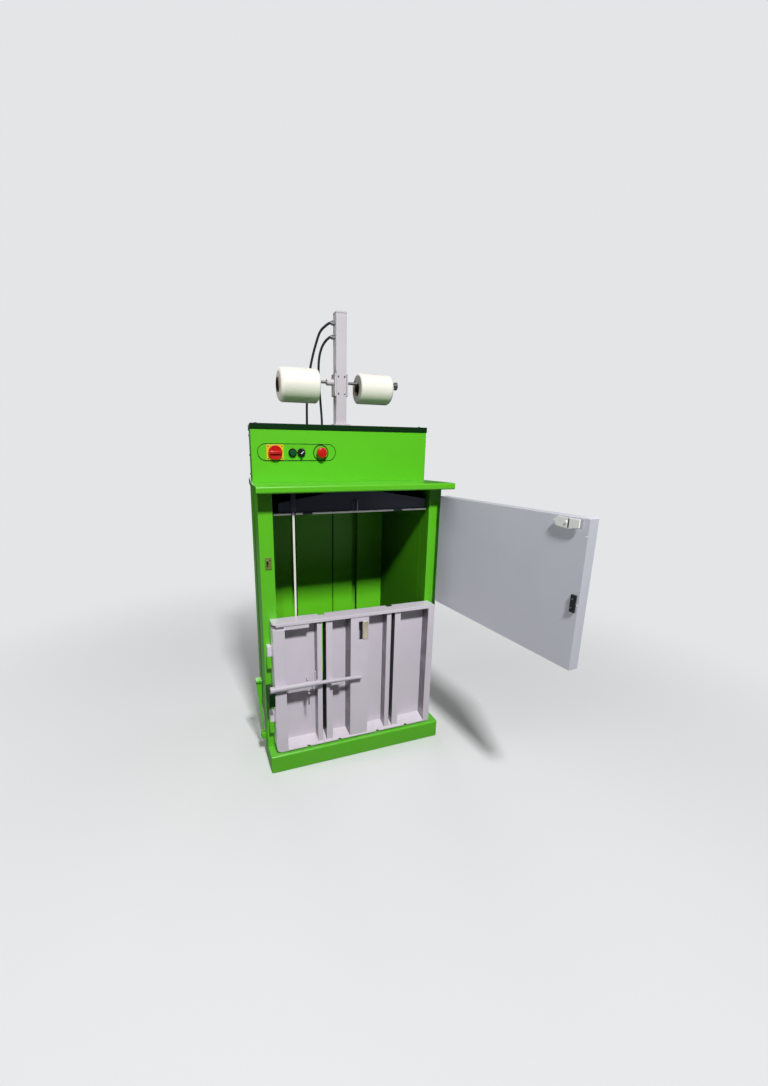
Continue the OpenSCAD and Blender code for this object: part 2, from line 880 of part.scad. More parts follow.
module switch_plate() {
    color([0.95, 0.80, 0.10])
        difference() {
            block([switch_x - switch_w / 2, switch_x + switch_w / 2], [field_y - plate_t, field_y],
                  [control_z - switch_h / 2 + 1, control_z + switch_h / 2 + 1]);
            bar_y(switch_x, [field_y - plate_t - 1, field_y + 1], control_z, 8);
        }
}

module switch_knob() {
    knob_y = field_y - plate_t - rest_gap;
    color([0.80, 0.06, 0.05])
        difference() {
            union() {
                bar_y(switch_x, [knob_y - 8, knob_y], control_z, switch_r);
                block([switch_x - switch_r + 3, switch_x + switch_r - 3],
                      [knob_y - 19, knob_y - 8 + eps], [control_z - 6, control_z + 6]);
                bar_y(switch_x, [knob_y - eps, head_y0 + cover_t + 12], control_z, 5);
            }
            for (side = [-1, 1])
                bar_y(switch_x, [knob_y - 22, knob_y - 12], control_z + side * 17, 12);
        }
}

module button_bezels() {
    color([0.12, 0.13, 0.13])
        for (x = [start_x, selector_x, stop_x])
            difference() {
                bar_y(x, [field_y - 6, field_y], control_z, bezel_r);
                bar_y(x, [field_y - 7, field_y + 1], control_z, button_r + rest_gap);
            }
}

module start_button() {
    color([0.05, 0.32, 0.14])
        bar_y(start_x, [field_y - 10, head_y0 + cover_t], control_z, button_r);
}

module selector_knob() {
    color(black) {
        bar_y(selector_x, [field_y - 9, head_y0 + cover_t + 5], control_z, button_r);
        block([selector_x - 3.5, selector_x + 3.5], [field_y - 19, field_y - 9 + eps],
              [control_z - button_r + 1, control_z + button_r - 1]);
    }
}

module stop_ring() {
    ring_w = 3;
    color(black)
        difference() {
            bar_y(stop_x, [field_y - 1, field_y], control_z, stop_ring_r);
            bar_y(stop_x, [field_y - 2, field_y + 1], control_z, stop_ring_r - ring_w);
        }
}

module stop_button() {
    head_y = field_y - 24;
    color([0.82, 0.07, 0.06]) {
        bar_y(stop_x, [head_y + 10, head_y0 + cover_t], control_z, button_r);
        translate([stop_x, head_y + 14, control_z])
            rotate([90, 0, 0])
                rotate_extrude()
                    polygon([
                        [0, 0], [stop_r - 2, 0], [stop_r, 2], [stop_r, 8],
                        [stop_r - 1.5, 11], [stop_r - 5, 13], [0, 14]
                    ]);
    }
}

module platen() {
    rear_h = 54;
    rib_at = 100;
    front_rib_x = -5;
    notch_at = 175;
    boss_r = 26;
    color(dark_steel)
        difference() {
            union() {
                block([-platen_x, platen_x], [platen_y0, platen_y1], [platen_z, platen_top]);
                // Gable-shaped web along the front edge
                translate([0, platen_y0 + 4 + web_t, 0])
                    rotate([90, 0, 0])
                        linear_extrude(height = web_t)
                            polygon([
                                [-platen_x + 19, platen_top - eps], [platen_x - 1, platen_top - eps],
                                [platen_x - 1, platen_top + web_end_h], [0, platen_top + web_mid_h],
                                [-platen_x + 19, platen_top + web_end_h]
                            ]);
                block([-platen_x + 20, platen_x - 20], [platen_y1 - 26, platen_y1 - 20],
                      [platen_top - eps, platen_top + rear_h]);
                for (x = [-rib_at, rib_at])
                    block([x - web_t / 2, x + web_t / 2], [platen_y0 + 4, platen_y1 - 20],
                          [platen_top - eps, platen_top + rear_h]);
                block([-rib_at, rib_at], [tower_y - 3, tower_y + 3],
                      [platen_top - eps, platen_top + boss_h]);
                block([front_rib_x - 7, front_rib_x + 7], [platen_y0 + 1, platen_y0 + 5],
                      [platen_top - eps, platen_top + 36]);
                bar_z(0, tower_y, [platen_top - eps, platen_top + boss_h], boss_r);
            }
            for (x = [-notch_at, notch_at])
                block([x - notch_w / 2, x + notch_w / 2], [platen_y0 - 1, platen_y0 + 3],
                      [platen_z - 1, platen_top + 1]);
            block([strap_x - strap_w / 2 - 1.5, strap_x + strap_w / 2 + 1.5],
                  [platen_y0 - 1, platen_y0 + 3.9], [platen_z - 1, platen_top + 1]);
            for (x = rear_channels)
                block([x - slot_w / 2, x + slot_w / 2], [platen_y1 - 12, platen_y1 + 1],
                      [platen_z - 1, platen_top + 1]);
        }
}

module piston_rod() {
    color([0.80, 0.81, 0.83])
        translate([0, tower_y, 0]) {
            bar_z(0, 0, [platen_top + boss_h, piston_z], rod_d / 2);
            bar_z(0, 0, [piston_z - eps, piston_z + piston_h], bore_d / 2 - run_fit);
        }
}

module strap_left() {
    color(white)
        block([strap_x - strap_w / 2, strap_x + strap_w / 2],
              [strap_y, strap_y + strap_t], [floor_z, roof_z]);
}

// A folded upright: its face stands at y and its two sides run back to the sheet
module channel(x, y, z) {
    difference() {
        block(x, [y, panel_y0 + eps], z);
        block([x[0] + ld_t, x[1] - ld_t], [y + ld_t, panel_y0 + 1], [z[0] - 1, z[1] - ld_t]);
    }
}

// The lower door's uprights: stiles, the middle rib and the bars beside the strap slots
module door_uprights() {
    top = ld_z1 - ld_top_t + eps;
    rib_face = ld_y0 + 3;
    rib_slope = 6;
    channel([ld_x0, ld_x0 + ld_left_w], ld_y0, [ld_z0, ld_z1 - 24]);
    channel([ld_x1 - ld_right_w, ld_x1], ld_y0, [ld_z0, top]);
    translate([0, panel_y0 + eps, ld_z0])
        rotate([0, 0, 180])
            hat(2 * (ld_rib_half + rib_slope), panel_y0 - rib_face, top - ld_z0, ld_t, rib_slope);
    for (x = slots) {
        channel([x - ld_slot_w / 2 - ld_bar_left, x - ld_slot_w / 2], rib_y0, [ld_z0, top]);
        channel([x + ld_slot_w / 2, x + ld_slot_w / 2 + ld_bar_right], rib_y0, [ld_z0, top]);
    }
}

// A profile in the YZ plane carried along the door's whole width
module door_profile(points) {
    translate([ld_x0, 0, 0])
        rotate([90, 0, 90])
            linear_extrude(height = ld_x1 - ld_x0)
                polygon(points);
}

ld_top_t = 6;
ledge_y = panel_y0 + eps;
ledge_z = ld_z0 + ld_rail_h;
ledge_z0 = ld_z0 + ld_face_h;

module lower_door() {
    corner = 11;
    lip_x0 = ld_x0 + 39;
    lip_w = 92;
    notch_r = 7;
    slit_x0 = -4;
    slit_x1 = 11;
    color(pale)
        difference() {
            union() {
                block([ld_x0, ld_x1], [panel_y0, panel_y1], [ld_z0, ld_z1]);
                // The top plate with its cut corner, and its lips
                translate([0, 0, ld_z1 - ld_top_t])
                    linear_extrude(height = ld_top_t)
                        polygon([
                            [ld_x0 + corner, ld_y0], [ld_x1, ld_y0], [ld_x1, ld_y1],
                            [ld_x0, ld_y1], [ld_x0, ld_y0 + corner]
                        ]);
                block([ld_x0 + corner, ld_x1 - 4], [ld_y0, ld_y0 + 3],
                      [ld_z1 - ld_top_t - 6, ld_z1 - ld_top_t + eps]);
                block([lip_x0, lip_x0 + lip_w], [ld_y0 + 3 - eps, ld_y0 + 6],
                      [ld_z1 - ld_top_t - 22, ld_z1 - ld_top_t + eps]);
                // The uprights end on the sloping bottom ledge
                difference() {
                    door_uprights();
                    door_profile([
                        [ld_y0 - 1, ld_z0 - 1], [ld_y0 - 1, ledge_z0 - 2],
                        [ledge_y, ledge_z - 2], [ledge_y, ld_z0 - 1]
                    ]);
                }
                door_profile([
                    [ld_y0, ld_z0], [ld_y0, ledge_z0], [ledge_y, ledge_z], [ledge_y, ledge_z - ld_t],
                    [ld_y0 + ld_t, ledge_z0 - ld_t + 1.6], [ld_y0 + ld_t, ld_z0]
                ]);
                // Lugs that sit over the rests on the left post
                for (z = rests)
                    block([ld_x0 - lug_reach, ld_x0 + eps], [ld_y1 - 26, ld_y1], [z + rest_gap, z + lug_h]);
                // Hinge straps and knuckles
                for (z = ld_hinge_zs) {
                    block([ld_x1 - eps, ld_hinge_x], [ld_hinge_y - 3, ld_hinge_y + 3], [z, z + 36]);
                    bar_z(ld_hinge_x, ld_hinge_y, [z, z + 36], ld_knuckle_r);
                }
            }
            for (x = slots)
                block([x - ld_slot_w / 2, x + ld_slot_w / 2], [ld_y0 - 1, ld_y1 + 1],
                      [ledge_z + 4, ld_z1 - ld_top_t - 6.5]);
            for (x = slots)
                block([x - 12, x + 12], [panel_y0 - 4, ld_y1 + 1], [ld_z1 - ld_top_t - 1, ld_z1 + 1]);
            for (x = [-ld_notch_outer, -ld_notch_inner, ld_notch_inner, ld_notch_outer])
                bar_y(x, [ld_y0 - 1, ld_y0 + ld_t + 1], ld_z0, notch_r);
            block([slit_x0, slit_x1], [ld_y0, ld_y0 + 3 + ld_t + 1], [ld_z1 - 104, ld_z1 - 32]);
            for (z = ld_hinge_zs)
                bar_z(ld_hinge_x, ld_hinge_y, [z - 1, z + 37], pin_r + run_fit);
        }
}

ld_notch_inner = 80;
ld_notch_outer = 205;
ld_hinge_zs = [ld_z0 + 75, ld_z1 - 111];

module door_rests() {
    x1 = ld_x0 - 2;
    rest_h = 47;
    color(green)
        for (z = rests)
            difference() {
                block([x1 - lug_reach, x1], [ld_y1 - 24, front_y], [z - rest_h, z]);
                translate([x1 - lug_reach - 1, ld_y1 - 24, z - rest_h])
                    rotate([45, 0, 0])
                        translate([0, -20, -20])
                            cube([lug_reach + 2, 40, 20]);
            }
}

module lower_hinge_posts() {
    color(green)
        for (z = ld_hinge_zs)
            for (z0 = [z - 26, z + 36 + rest_gap])
                difference() {
                    union() {
                        bar_z(ld_hinge_x, ld_hinge_y, [z0, z0 + 26 - rest_gap], ld_knuckle_r);
                        block([ld_hinge_x - 8, ld_hinge_x + 8], [ld_hinge_y, front_y],
                              [z0, z0 + 26 - rest_gap]);
                    }
                    bar_z(ld_hinge_x, ld_hinge_y, [z0 - 1, z0 + 27], pin_r + run_fit);
                }
}

module lock_guides() {
    near_x0 = ld_x0 + ld_left_w + 1;
    near_x1 = guide_x1;
    far_x0 = -ld_slot_at + 18.5;
    far_x1 = far_x0 + 48;
    shelf_z = lock_z - 12.2;
    tab = 6;
    color(pale) {
        difference() {
            block([near_x0, near_x1], [guide_y, panel_y0], [guide_z0, guide_top]);
            bar_x([near_x0 - 1, near_x1 + 1], lock_y, lock_z, lock_r + run_fit);
            block([near_x0 + 4, near_x1 - 4], [ld_y0 + 8, panel_y0 + 1], [guide_z0 - 1, guide_top + 1]);
        }
        // The tab and the stud that carry the hanging pin
        block([-pin_x - tab, -pin_x + tab], [guide_y, guide_y + 5], [stud_z - tab, guide_z0 + eps]);
        bar_y(-pin_x, [guide_y - 8, guide_y + eps], stud_z, stud_r);
        bar_y(-pin_x, [guide_y - 9.5, guide_y - 8 + eps], stud_z, stud_r + 1.5);
        // The far guide: a shelf under the handle with a back plate on the rib
        block([far_x0, far_x1], [guide_y, rib_y0], [guide_z0, shelf_z]);
        block([far_x0, far_x1], [rib_y0 - 7, rib_y0], [shelf_z - eps, guide_top]);
    }
}

module lock_bar() {
    fall = 1.9;
    grip_r = 3.5;
    grip_x = guide_x1 + 15.5;
    grip_top = lock_z + 47.5;
    color(pale) {
        bar_x([bolt_x0, collar_x], lock_y, lock_z, lock_r);
        bar_x([bolt_x0 - 3, bolt_x0 + 12], lock_y, lock_z, lock_r + 1.5);
        bar_x([collar_x - 4, collar_x + 8], lock_y, lock_z - 2, handle_r + 1.2);
        translate([collar_x + 4, lock_y, lock_z - 2])
            rotate([0, 90 + fall, 0])
                cylinder(r = handle_r, h = handle_x1 - collar_x - 4);
        bar_z(grip_x, lock_y, [lock_z + 2, grip_top], grip_r);
    }
}

module lock_pin() {
    rod_r = 2.2;
    eye_r = 6;
    eye_y = guide_y - 6;
    rod_z0 = stud_z - pin_len;
    color(steel)
        difference() {
            union() {
                bar_y(-pin_x, [eye_y, eye_y + 4], stud_z, eye_r);
                bar_z(-pin_x, eye_y + 2, [rod_z0, stud_z - 4], rod_r);
            }
            bar_y(-pin_x, [eye_y - 1, eye_y + 5], stud_z, stud_r + run_fit);
        }
}

module lock_keeper() {
    x0 = -outer_x;
    x1 = ld_x0 - 4;
    color(dark_green)
        difference() {
            block([x0, x1], [lock_y - lock_r + 4, front_y], [lock_z - 64, lock_z - lock_r - 2]);
            block([x0 + 5, x1 + 1], [lock_y - lock_r + 9, front_y - 5],
                  [lock_z - 58, lock_z - lock_r - 8]);
        }
}

// Places the upper door's own frame: +X runs from the hinge to the free edge, +Y is its outer side
module at_upper_door() {
    translate([ud_hinge_x, ud_hinge_y, 0])
        rotate([0, 0, 180 + ud_open])
            children();
}

ud_hinge_zs = [ud_z0 + 62, ud_z1 - 90];

module upper_door() {
    t = 3;
    n0 = -ud_in;
    n1 = n0 + ud_d;
    color(pale)
        at_upper_door()
            difference() {
                union() {
                    difference() {
                        block([ud_s0, ud_len], [n0, n1], [ud_z0, ud_z1]);
                        block([ud_s0 + t, ud_len - t], [n0 + t, n1 + 1], [ud_z0 + t, ud_z1 - t]);
                    }
                    // Stiffening ribs on the outer side
                    for (z = [ud_z0 + 110, ud_z1 - 110])
                        block([ud_s0 + t - eps, ud_len - t + eps], [n0 + t - eps, n1 - 6], [z - 2, z + 2]);
                    for (s = [180, 330, 480])
                        block([s - 2, s + 2], [n0 + t - eps, n1 - 6], [ud_z0 + t - eps, ud_z1 - t + eps]);
                    for (z = ud_hinge_zs) {
                        block([0, ud_s0 + eps], [-3, 3], [z, z + 36]);
                        bar_z(0, 0, [z, z + 36], ud_knuckle_r);
                    }
                }
                for (z = ud_hinge_zs)
                    bar_z(0, 0, [z - 1, z + 37], pin_r + run_fit);
                for (z = [ud_z1 - 44, ud_z0 + 186])
                    bar_y(ud_len - 4, [n0 - 1, n0 + t + 1], z, 2);
            }
}

module upper_hinge_posts() {
    color(green)
        for (z = ud_hinge_zs)
            for (z0 = [z - 26, z + 36 + rest_gap])
                difference() {
                    union() {
                        bar_z(ud_hinge_x, ud_hinge_y, [z0, z0 + 26 - rest_gap], ud_knuckle_r);
                        block([ud_hinge_x - 2, ud_hinge_x + 5], [ud_hinge_y, front_y],
                              [z0, z0 + 26 - rest_gap]);
                    }
                    bar_z(ud_hinge_x, ud_hinge_y, [z0 - 1, z0 + 27], pin_r + run_fit);
                }
}

module hinge_pins() {
    color(steel) {
        for (z = ld_hinge_zs) {
            bar_z(ld_hinge_x, ld_hinge_y, [z - 26, z + 62], pin_r);
            bar_z(ld_hinge_x, ld_hinge_y, [z + 62, z + 65], pin_r + 3);
        }
        for (z = ud_hinge_zs) {
            bar_z(ud_hinge_x, ud_hinge_y, [z - 26, z + 62], pin_r);
            bar_z(ud_hinge_x, ud_hinge_y, [z + 62, z + 65], pin_r + 3);
        }
    }
}

latch_s = ud_len - 62;
latch_z = ud_z1 - 16;

module door_latch() {
    color(white)
        at_upper_door() {
            translate([latch_s, -ud_in - 5, latch_z])
                rotate([90, 0, 0])
                    linear_extrude(height = 5)
                        polygon([[-42, 2], [-30, -12], [10, -16], [40, -10], [40, 12], [-4, 12], [-26, 14]]);
            bar_y(latch_s, [-ud_in - 12, -ud_in - rest_gap], latch_z, 4);
        }
}

key_s = ud_len - 21;

module interlock_key() {
    color(black)
        at_upper_door() {
            block([key_s, key_s + 14.5], [-ud_in - 6, -ud_in], [interlock_z - 26, interlock_z + 22]);
            block([key_s + 3, key_s + 11], [-ud_in - 8, -ud_in - 6 + eps],
                  [interlock_z - 18, interlock_z - 8]);
        }
}

module interlock_switch() {
    x0 = -outer_x + 17;
    color(steel) {
        block([x0, x0 + 23], [front_y - 3, front_y], [interlock_z - 16, interlock_z + 26]);
        block([x0 + 3, x0 + 12], [front_y - 8, front_y - 3 + eps], [interlock_z - 2, interlock_z + 18]);
        bar_y(x0 + 18, [front_y - 6, front_y - 3 + eps], interlock_z + 20, 3);
    }
}

// A leaf that widens from its pivot to a pad at its top
module ejector_lever() {
    pad_w = 28;
    boss_r = 7;
    color([0.45, 0.82, 0.20])
        difference() {
            union() {
                translate([lever_x, lever_y + lever_half, lever_z])
                    rotate([90, 0, 0])
                        linear_extrude(height = 2 * lever_half)
                            polygon([
                                [4, 0], [1, 66], [-3, 134], [1.5, lever_top - lever_z],
                                [-21, lever_top - lever_z], [-11, 134], [-5, 66], [-3, 0]
                            ]);
                bar_y(lever_x, [lever_y - lever_half, lever_y + lever_half], lever_z, boss_r);
                block([lever_x - 21, lever_x + 1.5], [lever_y - pad_w / 2, lever_y + pad_w / 2],
                      [lever_top - 8, lever_top]);
            }
            bar_y(lever_x, [lever_y - lever_half - 1, lever_y + lever_half + 1], lever_z,
                  lever_pin_r + run_fit);
        }
}

lever_pin_r = 4;

module lever_bracket() {
    near = lever_half + rest_gap;
    color(green) {
        for (side = [-1, 1])
            difference() {
                block([lever_x - 9, -outer_x],
                      side > 0 ? [lever_y + near, lever_y + near + ear_t]
                               : [lever_y - near - ear_t, lever_y - near],
                      [lever_z - 12, lever_z + 12]);
                bar_y(lever_x, [lever_y - 20, lever_y + 20], lever_z, lever_pin_r);
            }
        bar_y(lever_x, [lever_y - near - ear_t - 3, lever_y + near + ear_t + 3], lever_z, lever_pin_r);
    }
}

module frame_bolts() {
    inset = 22;
    color(steel) {
        for (x = [-head_rear_x + inset, 0, head_rear_x - inset])
            translate([x, head_y1 - inset, head_top])
                cylinder(r = 5, h = 3);
        for (x = [-head_x + inset, head_x - inset])
            translate([x, head_y0 + inset, head_top])
                cylinder(r = 5, h = 3);
        for (x = [-flange_rear_x + 60, flange_rear_x - 60])
            bar_y(x, [flange_y1, flange_y1 + 4], frame_h - flange_h / 2, 6);
    }
}

base_plinth();
chamber_floor();
post(-1);  // left_post
post(1);  // right_post
side_wall(-1);  // left_side_wall
side_wall(1);  // right_side_wall
rear_wall();
top_flange();
header_cover();
header_rear_panel();
header_lid();
cylinder_mount();
cylinder_shroud();
tower_cap();
tower_foot();
cylinder_barrel();
rod_gland();
roll_bracket();
roll_axles();
strap_roll(-1, roll_left_x, roll_left_r, roll_left_len);  // strap_roll_left
roll_core(-1, roll_left_x, roll_left_len);  // roll_core_left
strap_roll(1, roll_right_x, roll_right_r, roll_right_len);  // strap_roll_right
roll_core(1, roll_right_x, roll_right_len);  // roll_core_right
hose_fittings();
hose(upper_route);  // hose_upper
hose(lower_route);  // hose_lower
valve_block();
pump_motor();
oil_tank();
relay_box();
cable_gland();
control_field();
contact_blocks();
switch_plate();
switch_knob();
button_bezels();
start_button();
selector_knob();
stop_ring();
stop_button();
platen();
piston_rod();
strap_left();
lower_door();
lower_hinge_posts();
lock_guides();
lock_bar();
lock_pin();
lock_keeper();
door_rests();
upper_door();
upper_hinge_posts();
hinge_pins();
door_latch();
interlock_key();
interlock_switch();
ejector_lever();
lever_bracket();
frame_bolts();
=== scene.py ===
import json
import math

import bpy
from mathutils import Matrix, Vector
from mathutils.bvhtree import BVHTree


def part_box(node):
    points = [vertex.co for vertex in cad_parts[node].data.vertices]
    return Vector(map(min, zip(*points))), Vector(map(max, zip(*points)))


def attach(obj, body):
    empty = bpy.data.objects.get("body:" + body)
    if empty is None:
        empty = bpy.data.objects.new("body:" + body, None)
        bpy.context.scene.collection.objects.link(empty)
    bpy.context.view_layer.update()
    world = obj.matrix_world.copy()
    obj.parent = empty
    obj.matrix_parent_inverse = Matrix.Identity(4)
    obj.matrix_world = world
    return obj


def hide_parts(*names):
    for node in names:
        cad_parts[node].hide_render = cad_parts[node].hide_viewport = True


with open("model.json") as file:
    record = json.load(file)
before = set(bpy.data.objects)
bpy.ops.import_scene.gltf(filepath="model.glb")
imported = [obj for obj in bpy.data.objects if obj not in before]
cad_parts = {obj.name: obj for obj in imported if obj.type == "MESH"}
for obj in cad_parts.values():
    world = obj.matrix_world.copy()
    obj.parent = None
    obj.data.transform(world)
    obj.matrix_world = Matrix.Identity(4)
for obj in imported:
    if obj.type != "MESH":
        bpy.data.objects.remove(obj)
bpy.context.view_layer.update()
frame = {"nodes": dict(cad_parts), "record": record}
record = frame["record"]
node_body = {n: b for b, names in record["behaviour"]["bodies"].items() for n in names}
node_slot = {s["node"]: s["material_slot"] for s in record["subparts"]}

# Pieces are measured in millimetres. Materials, lamps and the camera are in metres.
MM = 0.001
QUARTER = math.radians(90)

# Where the edges and faces of the CAD parts lie that are picked out below
DOOR_LEFT, DOOR_RIGHT = -326, 314                       # the lower door's outer fold
DOOR_FOOT, DOOR_TOP, DOOR_FRONT = 75, 589, -258.5
DOOR_FEET = ((DOOR_LEFT, 1, 19), (DOOR_RIGHT, -1, 11))  # a bottom corner's edge, its way inwards, its radius
FOLD_DEPTH = (-262, -200)                               # the press plate's painted lit strip lies in front of and below these
PLATE_FRONT, PLATE_LIP = -184, 961.5                    # the press plate is worn bare in front of and below these
FLANGE_FRONT = -271.5                                   # just behind the front of the top plate's fold
BASE_FRONT, BASE_SIDE, BASE_TOP = -262, 345, 65         # just inside the base's front, sides and top
BUTTON_FACE = -97.5                                     # just behind the stop button's face
BUTTON_BACK = -84.25                                    # close to the back of its head
SLACK = 0.5                                             # how near counts as being there
ACROSS = 200                                            # an edge longer than this runs across the machine


# ---------------------------------------------------------------- colour and node helpers
def srgb(r, g, b):
    """A colour as a painter reads it off a fan deck, 0 to 255, in the renderer's own values."""
    def one(v):
        v = v / 255
        return v / 12.92 if v <= 0.04045 else ((v + 0.055) / 1.055) ** 2.4
    return (one(r), one(g), one(b), 1.0)


def add(tree, kind, **settings):
    node = tree.nodes.new(kind)
    for key, value in settings.items():
        setattr(node, key, value)
    return node


def plug(tree, value, socket):
    """Links another node's output to the socket, or sets a plain value on it."""
    if hasattr(value, "links"):
        tree.links.new(value, socket)
    else:
        socket.default_value = value


def object_coords(tree):
    return add(tree, "ShaderNodeTexCoord").outputs["Object"]


def axes(tree, vector):
    """A vector's X, Y and Z outputs."""
    split = add(tree, "ShaderNodeSeparateXYZ")
    tree.links.new(vector, split.inputs["Vector"])
    return split.outputs


def stretched(tree, coords, scale, turn=(0, 0, 0)):
    """The coordinates, scaled along each axis and turned."""
    m = add(tree, "ShaderNodeMapping")
    m.inputs["Scale"].default_value = scale
    m.inputs["Rotation"].default_value = turn
    tree.links.new(coords, m.inputs["Vector"])
    return m.outputs["Vector"]


def noise(tree, coords, scale, detail=3.0, rough=0.55):
    n = add(tree, "ShaderNodeTexNoise")
    n.inputs["Scale"].default_value = scale
    n.inputs["Detail"].default_value = detail
    n.inputs["Roughness"].default_value = rough
    tree.links.new(coords, n.inputs["Vector"])
    return n.outputs["Fac"]


def ramp(tree, source, low, high, to_low=0.0, to_high=1.0, **settings):
    """The source spread from low and high to two other limits, and held there beyond them."""
    r = add(tree, "ShaderNodeMapRange", **settings)
    r.inputs["From Min"].default_value = low
    r.inputs["From Max"].default_value = high
    r.inputs["To Min"].default_value = to_low
    r.inputs["To Max"].default_value = to_high
    tree.links.new(source, r.inputs["Value"])
    return r.outputs["Result"]


def mixed(tree, factor, first, second):
    """The first colour where the factor is 0, the second where it is 1."""
    m = add(tree, "ShaderNodeMix", data_type="RGBA")
    for value, label in ((factor, "Factor"), (first, "A"), (second, "B")):
        plug(tree, value, m.inputs[label])
    return m.outputs["Result"]


def maths(tree, operation, first, *others):
    """The operation on the first value and the next, then on that result and the one after it."""
    for value in others or (0.0,):
        m = add(tree, "ShaderNodeMath", operation=operation)
        plug(tree, first, m.inputs[0])
        plug(tree, value, m.inputs[1])
        first = m.outputs[0]
    return first


def toned(tree, colour, change):
    """The colour made lighter or darker by a share of its own value."""
    shade = add(tree, "ShaderNodeHueSaturation")
    tree.links.new(colour, shade.inputs["Color"])
    tree.links.new(maths(tree, "ADD", change, 1.0), shade.inputs["Value"])
    return shade.outputs["Color"]


# ---------------------------------------------------------------- node groups
COLOUR, VALUE = "NodeSocketColor", "NodeSocketFloat"


def new_group(name, ins, outs):
    """An empty node group, with the sockets that bring its inputs in and those that take its outputs out."""
    group = bpy.data.node_groups.new(name, "ShaderNodeTree")
    for label, kind, default in ins:
        socket = group.interface.new_socket(label, in_out="INPUT", socket_type=kind)
        socket.default_value = default
    for label, kind in outs:
        group.interface.new_socket(label, in_out="OUTPUT", socket_type=kind)
    start = group.nodes.new("NodeGroupInput")
    end = group.nodes.new("NodeGroupOutput")
    return group, start.outputs, end.inputs


def make_paint_group():
    """Sprayed paint: a slight drift of shade, fine orange peel and a few thin scuffs."""
    g, given, out = new_group(
        "paint_skin",
        [("Colour", COLOUR, (0.5, 0.5, 0.5, 1)), ("Drift", VALUE, 0.12),
         ("Scuff Colour", COLOUR, (0.8, 0.8, 0.8, 1)), ("Scuffs", VALUE, 0.2), ("Gloss Roughness", VALUE, 0.35)],
        [("Colour", COLOUR), ("Roughness", VALUE), ("Height", VALUE)])
    coords = object_coords(g)
    shade = ramp(g, noise(g, coords, scale=4.0, detail=4.0), 0.3, 0.7, to_low=-1.0)
    drift = maths(g, "MULTIPLY", shade, given["Drift"])
    streaks = stretched(g, coords, scale=(3.0, 3.0, 70.0), turn=(0.35, 0.5, 0.2))
    line = ramp(g, noise(g, streaks, scale=7.0, rough=0.6), 0.66, 0.72)
    patch = ramp(g, noise(g, coords, scale=9.0), 0.52, 0.66)
    scuffed = maths(g, "MULTIPLY", line, patch, given["Scuffs"])
    g.links.new(mixed(g, scuffed, toned(g, given["Colour"], drift), given["Scuff Colour"]), out["Colour"])
    grain = ramp(g, noise(g, coords, scale=900.0, detail=2.0), 0.3, 0.7, to_low=-0.05, to_high=0.06)
    rough = maths(g, "ADD", grain, given["Gloss Roughness"], maths(g, "MULTIPLY", scuffed, 0.3))
    g.links.new(rough, out["Roughness"])
    peel = noise(g, coords, scale=260.0, detail=2.0)
    g.links.new(maths(g, "ADD", peel, maths(g, "MULTIPLY", scuffed, -0.6)), out["Height"])
    return g


def make_dust_group():
    """Pale dust, in blots: on faces that look up, and on all faces lower than Reach, more so near the floor."""
    g, given, out = new_group(
        "settled_dust",
        [("Colour", COLOUR, (0.5, 0.5, 0.5, 1)), ("Dust Colour", COLOUR, (0.6, 0.58, 0.52, 1)),
         ("Ledge Dust", VALUE, 0.25), ("Floor Dust", VALUE, 0.2), ("Reach", VALUE, 0.18)],
        [("Colour", COLOUR)])
    coords = object_coords(g)
    normal = add(g, "ShaderNodeNewGeometry").outputs["Normal"]
    ledge = ramp(g, axes(g, normal)["Z"], 0.5, 1.0)
    low = ramp(g, maths(g, "DIVIDE", axes(g, coords)["Z"], given["Reach"]), 1.0, 0.0)
    on_ledge = maths(g, "MULTIPLY", ledge, given["Ledge Dust"])
    on_low = maths(g, "MULTIPLY", low, given["Floor Dust"])
    blots = ramp(g, noise(g, coords, scale=22.0, detail=5.0, rough=0.65), 0.38, 0.68)
    dusty = maths(g, "MULTIPLY", maths(g, "ADD", on_ledge, on_low), blots)
    g.links.new(mixed(g, dusty, given["Colour"], given["Dust Colour"]), out["Colour"])
    return g


def make_drawn_group():
    """Drawn or turned metal: fine lines along X and a patchy sheen."""
    g, given, out = new_group(
        "drawn_metal",
        [("Colour", COLOUR, (0.6, 0.6, 0.62, 1)), ("Lines", VALUE, 0.3), ("Roughness", VALUE, 0.3)],
        [("Colour", COLOUR), ("Roughness", VALUE), ("Height", VALUE)])
    coords = object_coords(g)
    lines = noise(g, stretched(g, coords, scale=(4.0, 400.0, 400.0)), scale=1.0)
    tone = maths(g, "MULTIPLY", ramp(g, lines, 0.3, 0.7, to_low=-0.5, to_high=0.5), given["Lines"])
    g.links.new(toned(g, given["Colour"], tone), out["Colour"])
    patchy = ramp(g, noise(g, coords, scale=14.0), 0.35, 0.7, to_low=-0.05, to_high=0.12)
    g.links.new(maths(g, "ADD", patchy, given["Roughness"]), out["Roughness"])
    g.links.new(lines, out["Height"])
    return g


PAINT = make_paint_group()
DUST = make_dust_group()
DRAWN = make_drawn_group()


def place_group(tree, group, **values):
    """The group's outputs. A name's underscores stand for the spaces in the input that it sets."""
    node = add(tree, "ShaderNodeGroup", node_tree=group)
    for label, value in values.items():
        plug(tree, value, node.inputs[label.replace("_", " ")])
    return node.outputs


# ---------------------------------------------------------------- materials
def shader_of(m):
    return m.node_tree.nodes["Principled BSDF"]


def blank_material(name):
    m = bpy.data.materials.new(name)
    m.use_nodes = True
    return m, m.node_tree, shader_of(m)


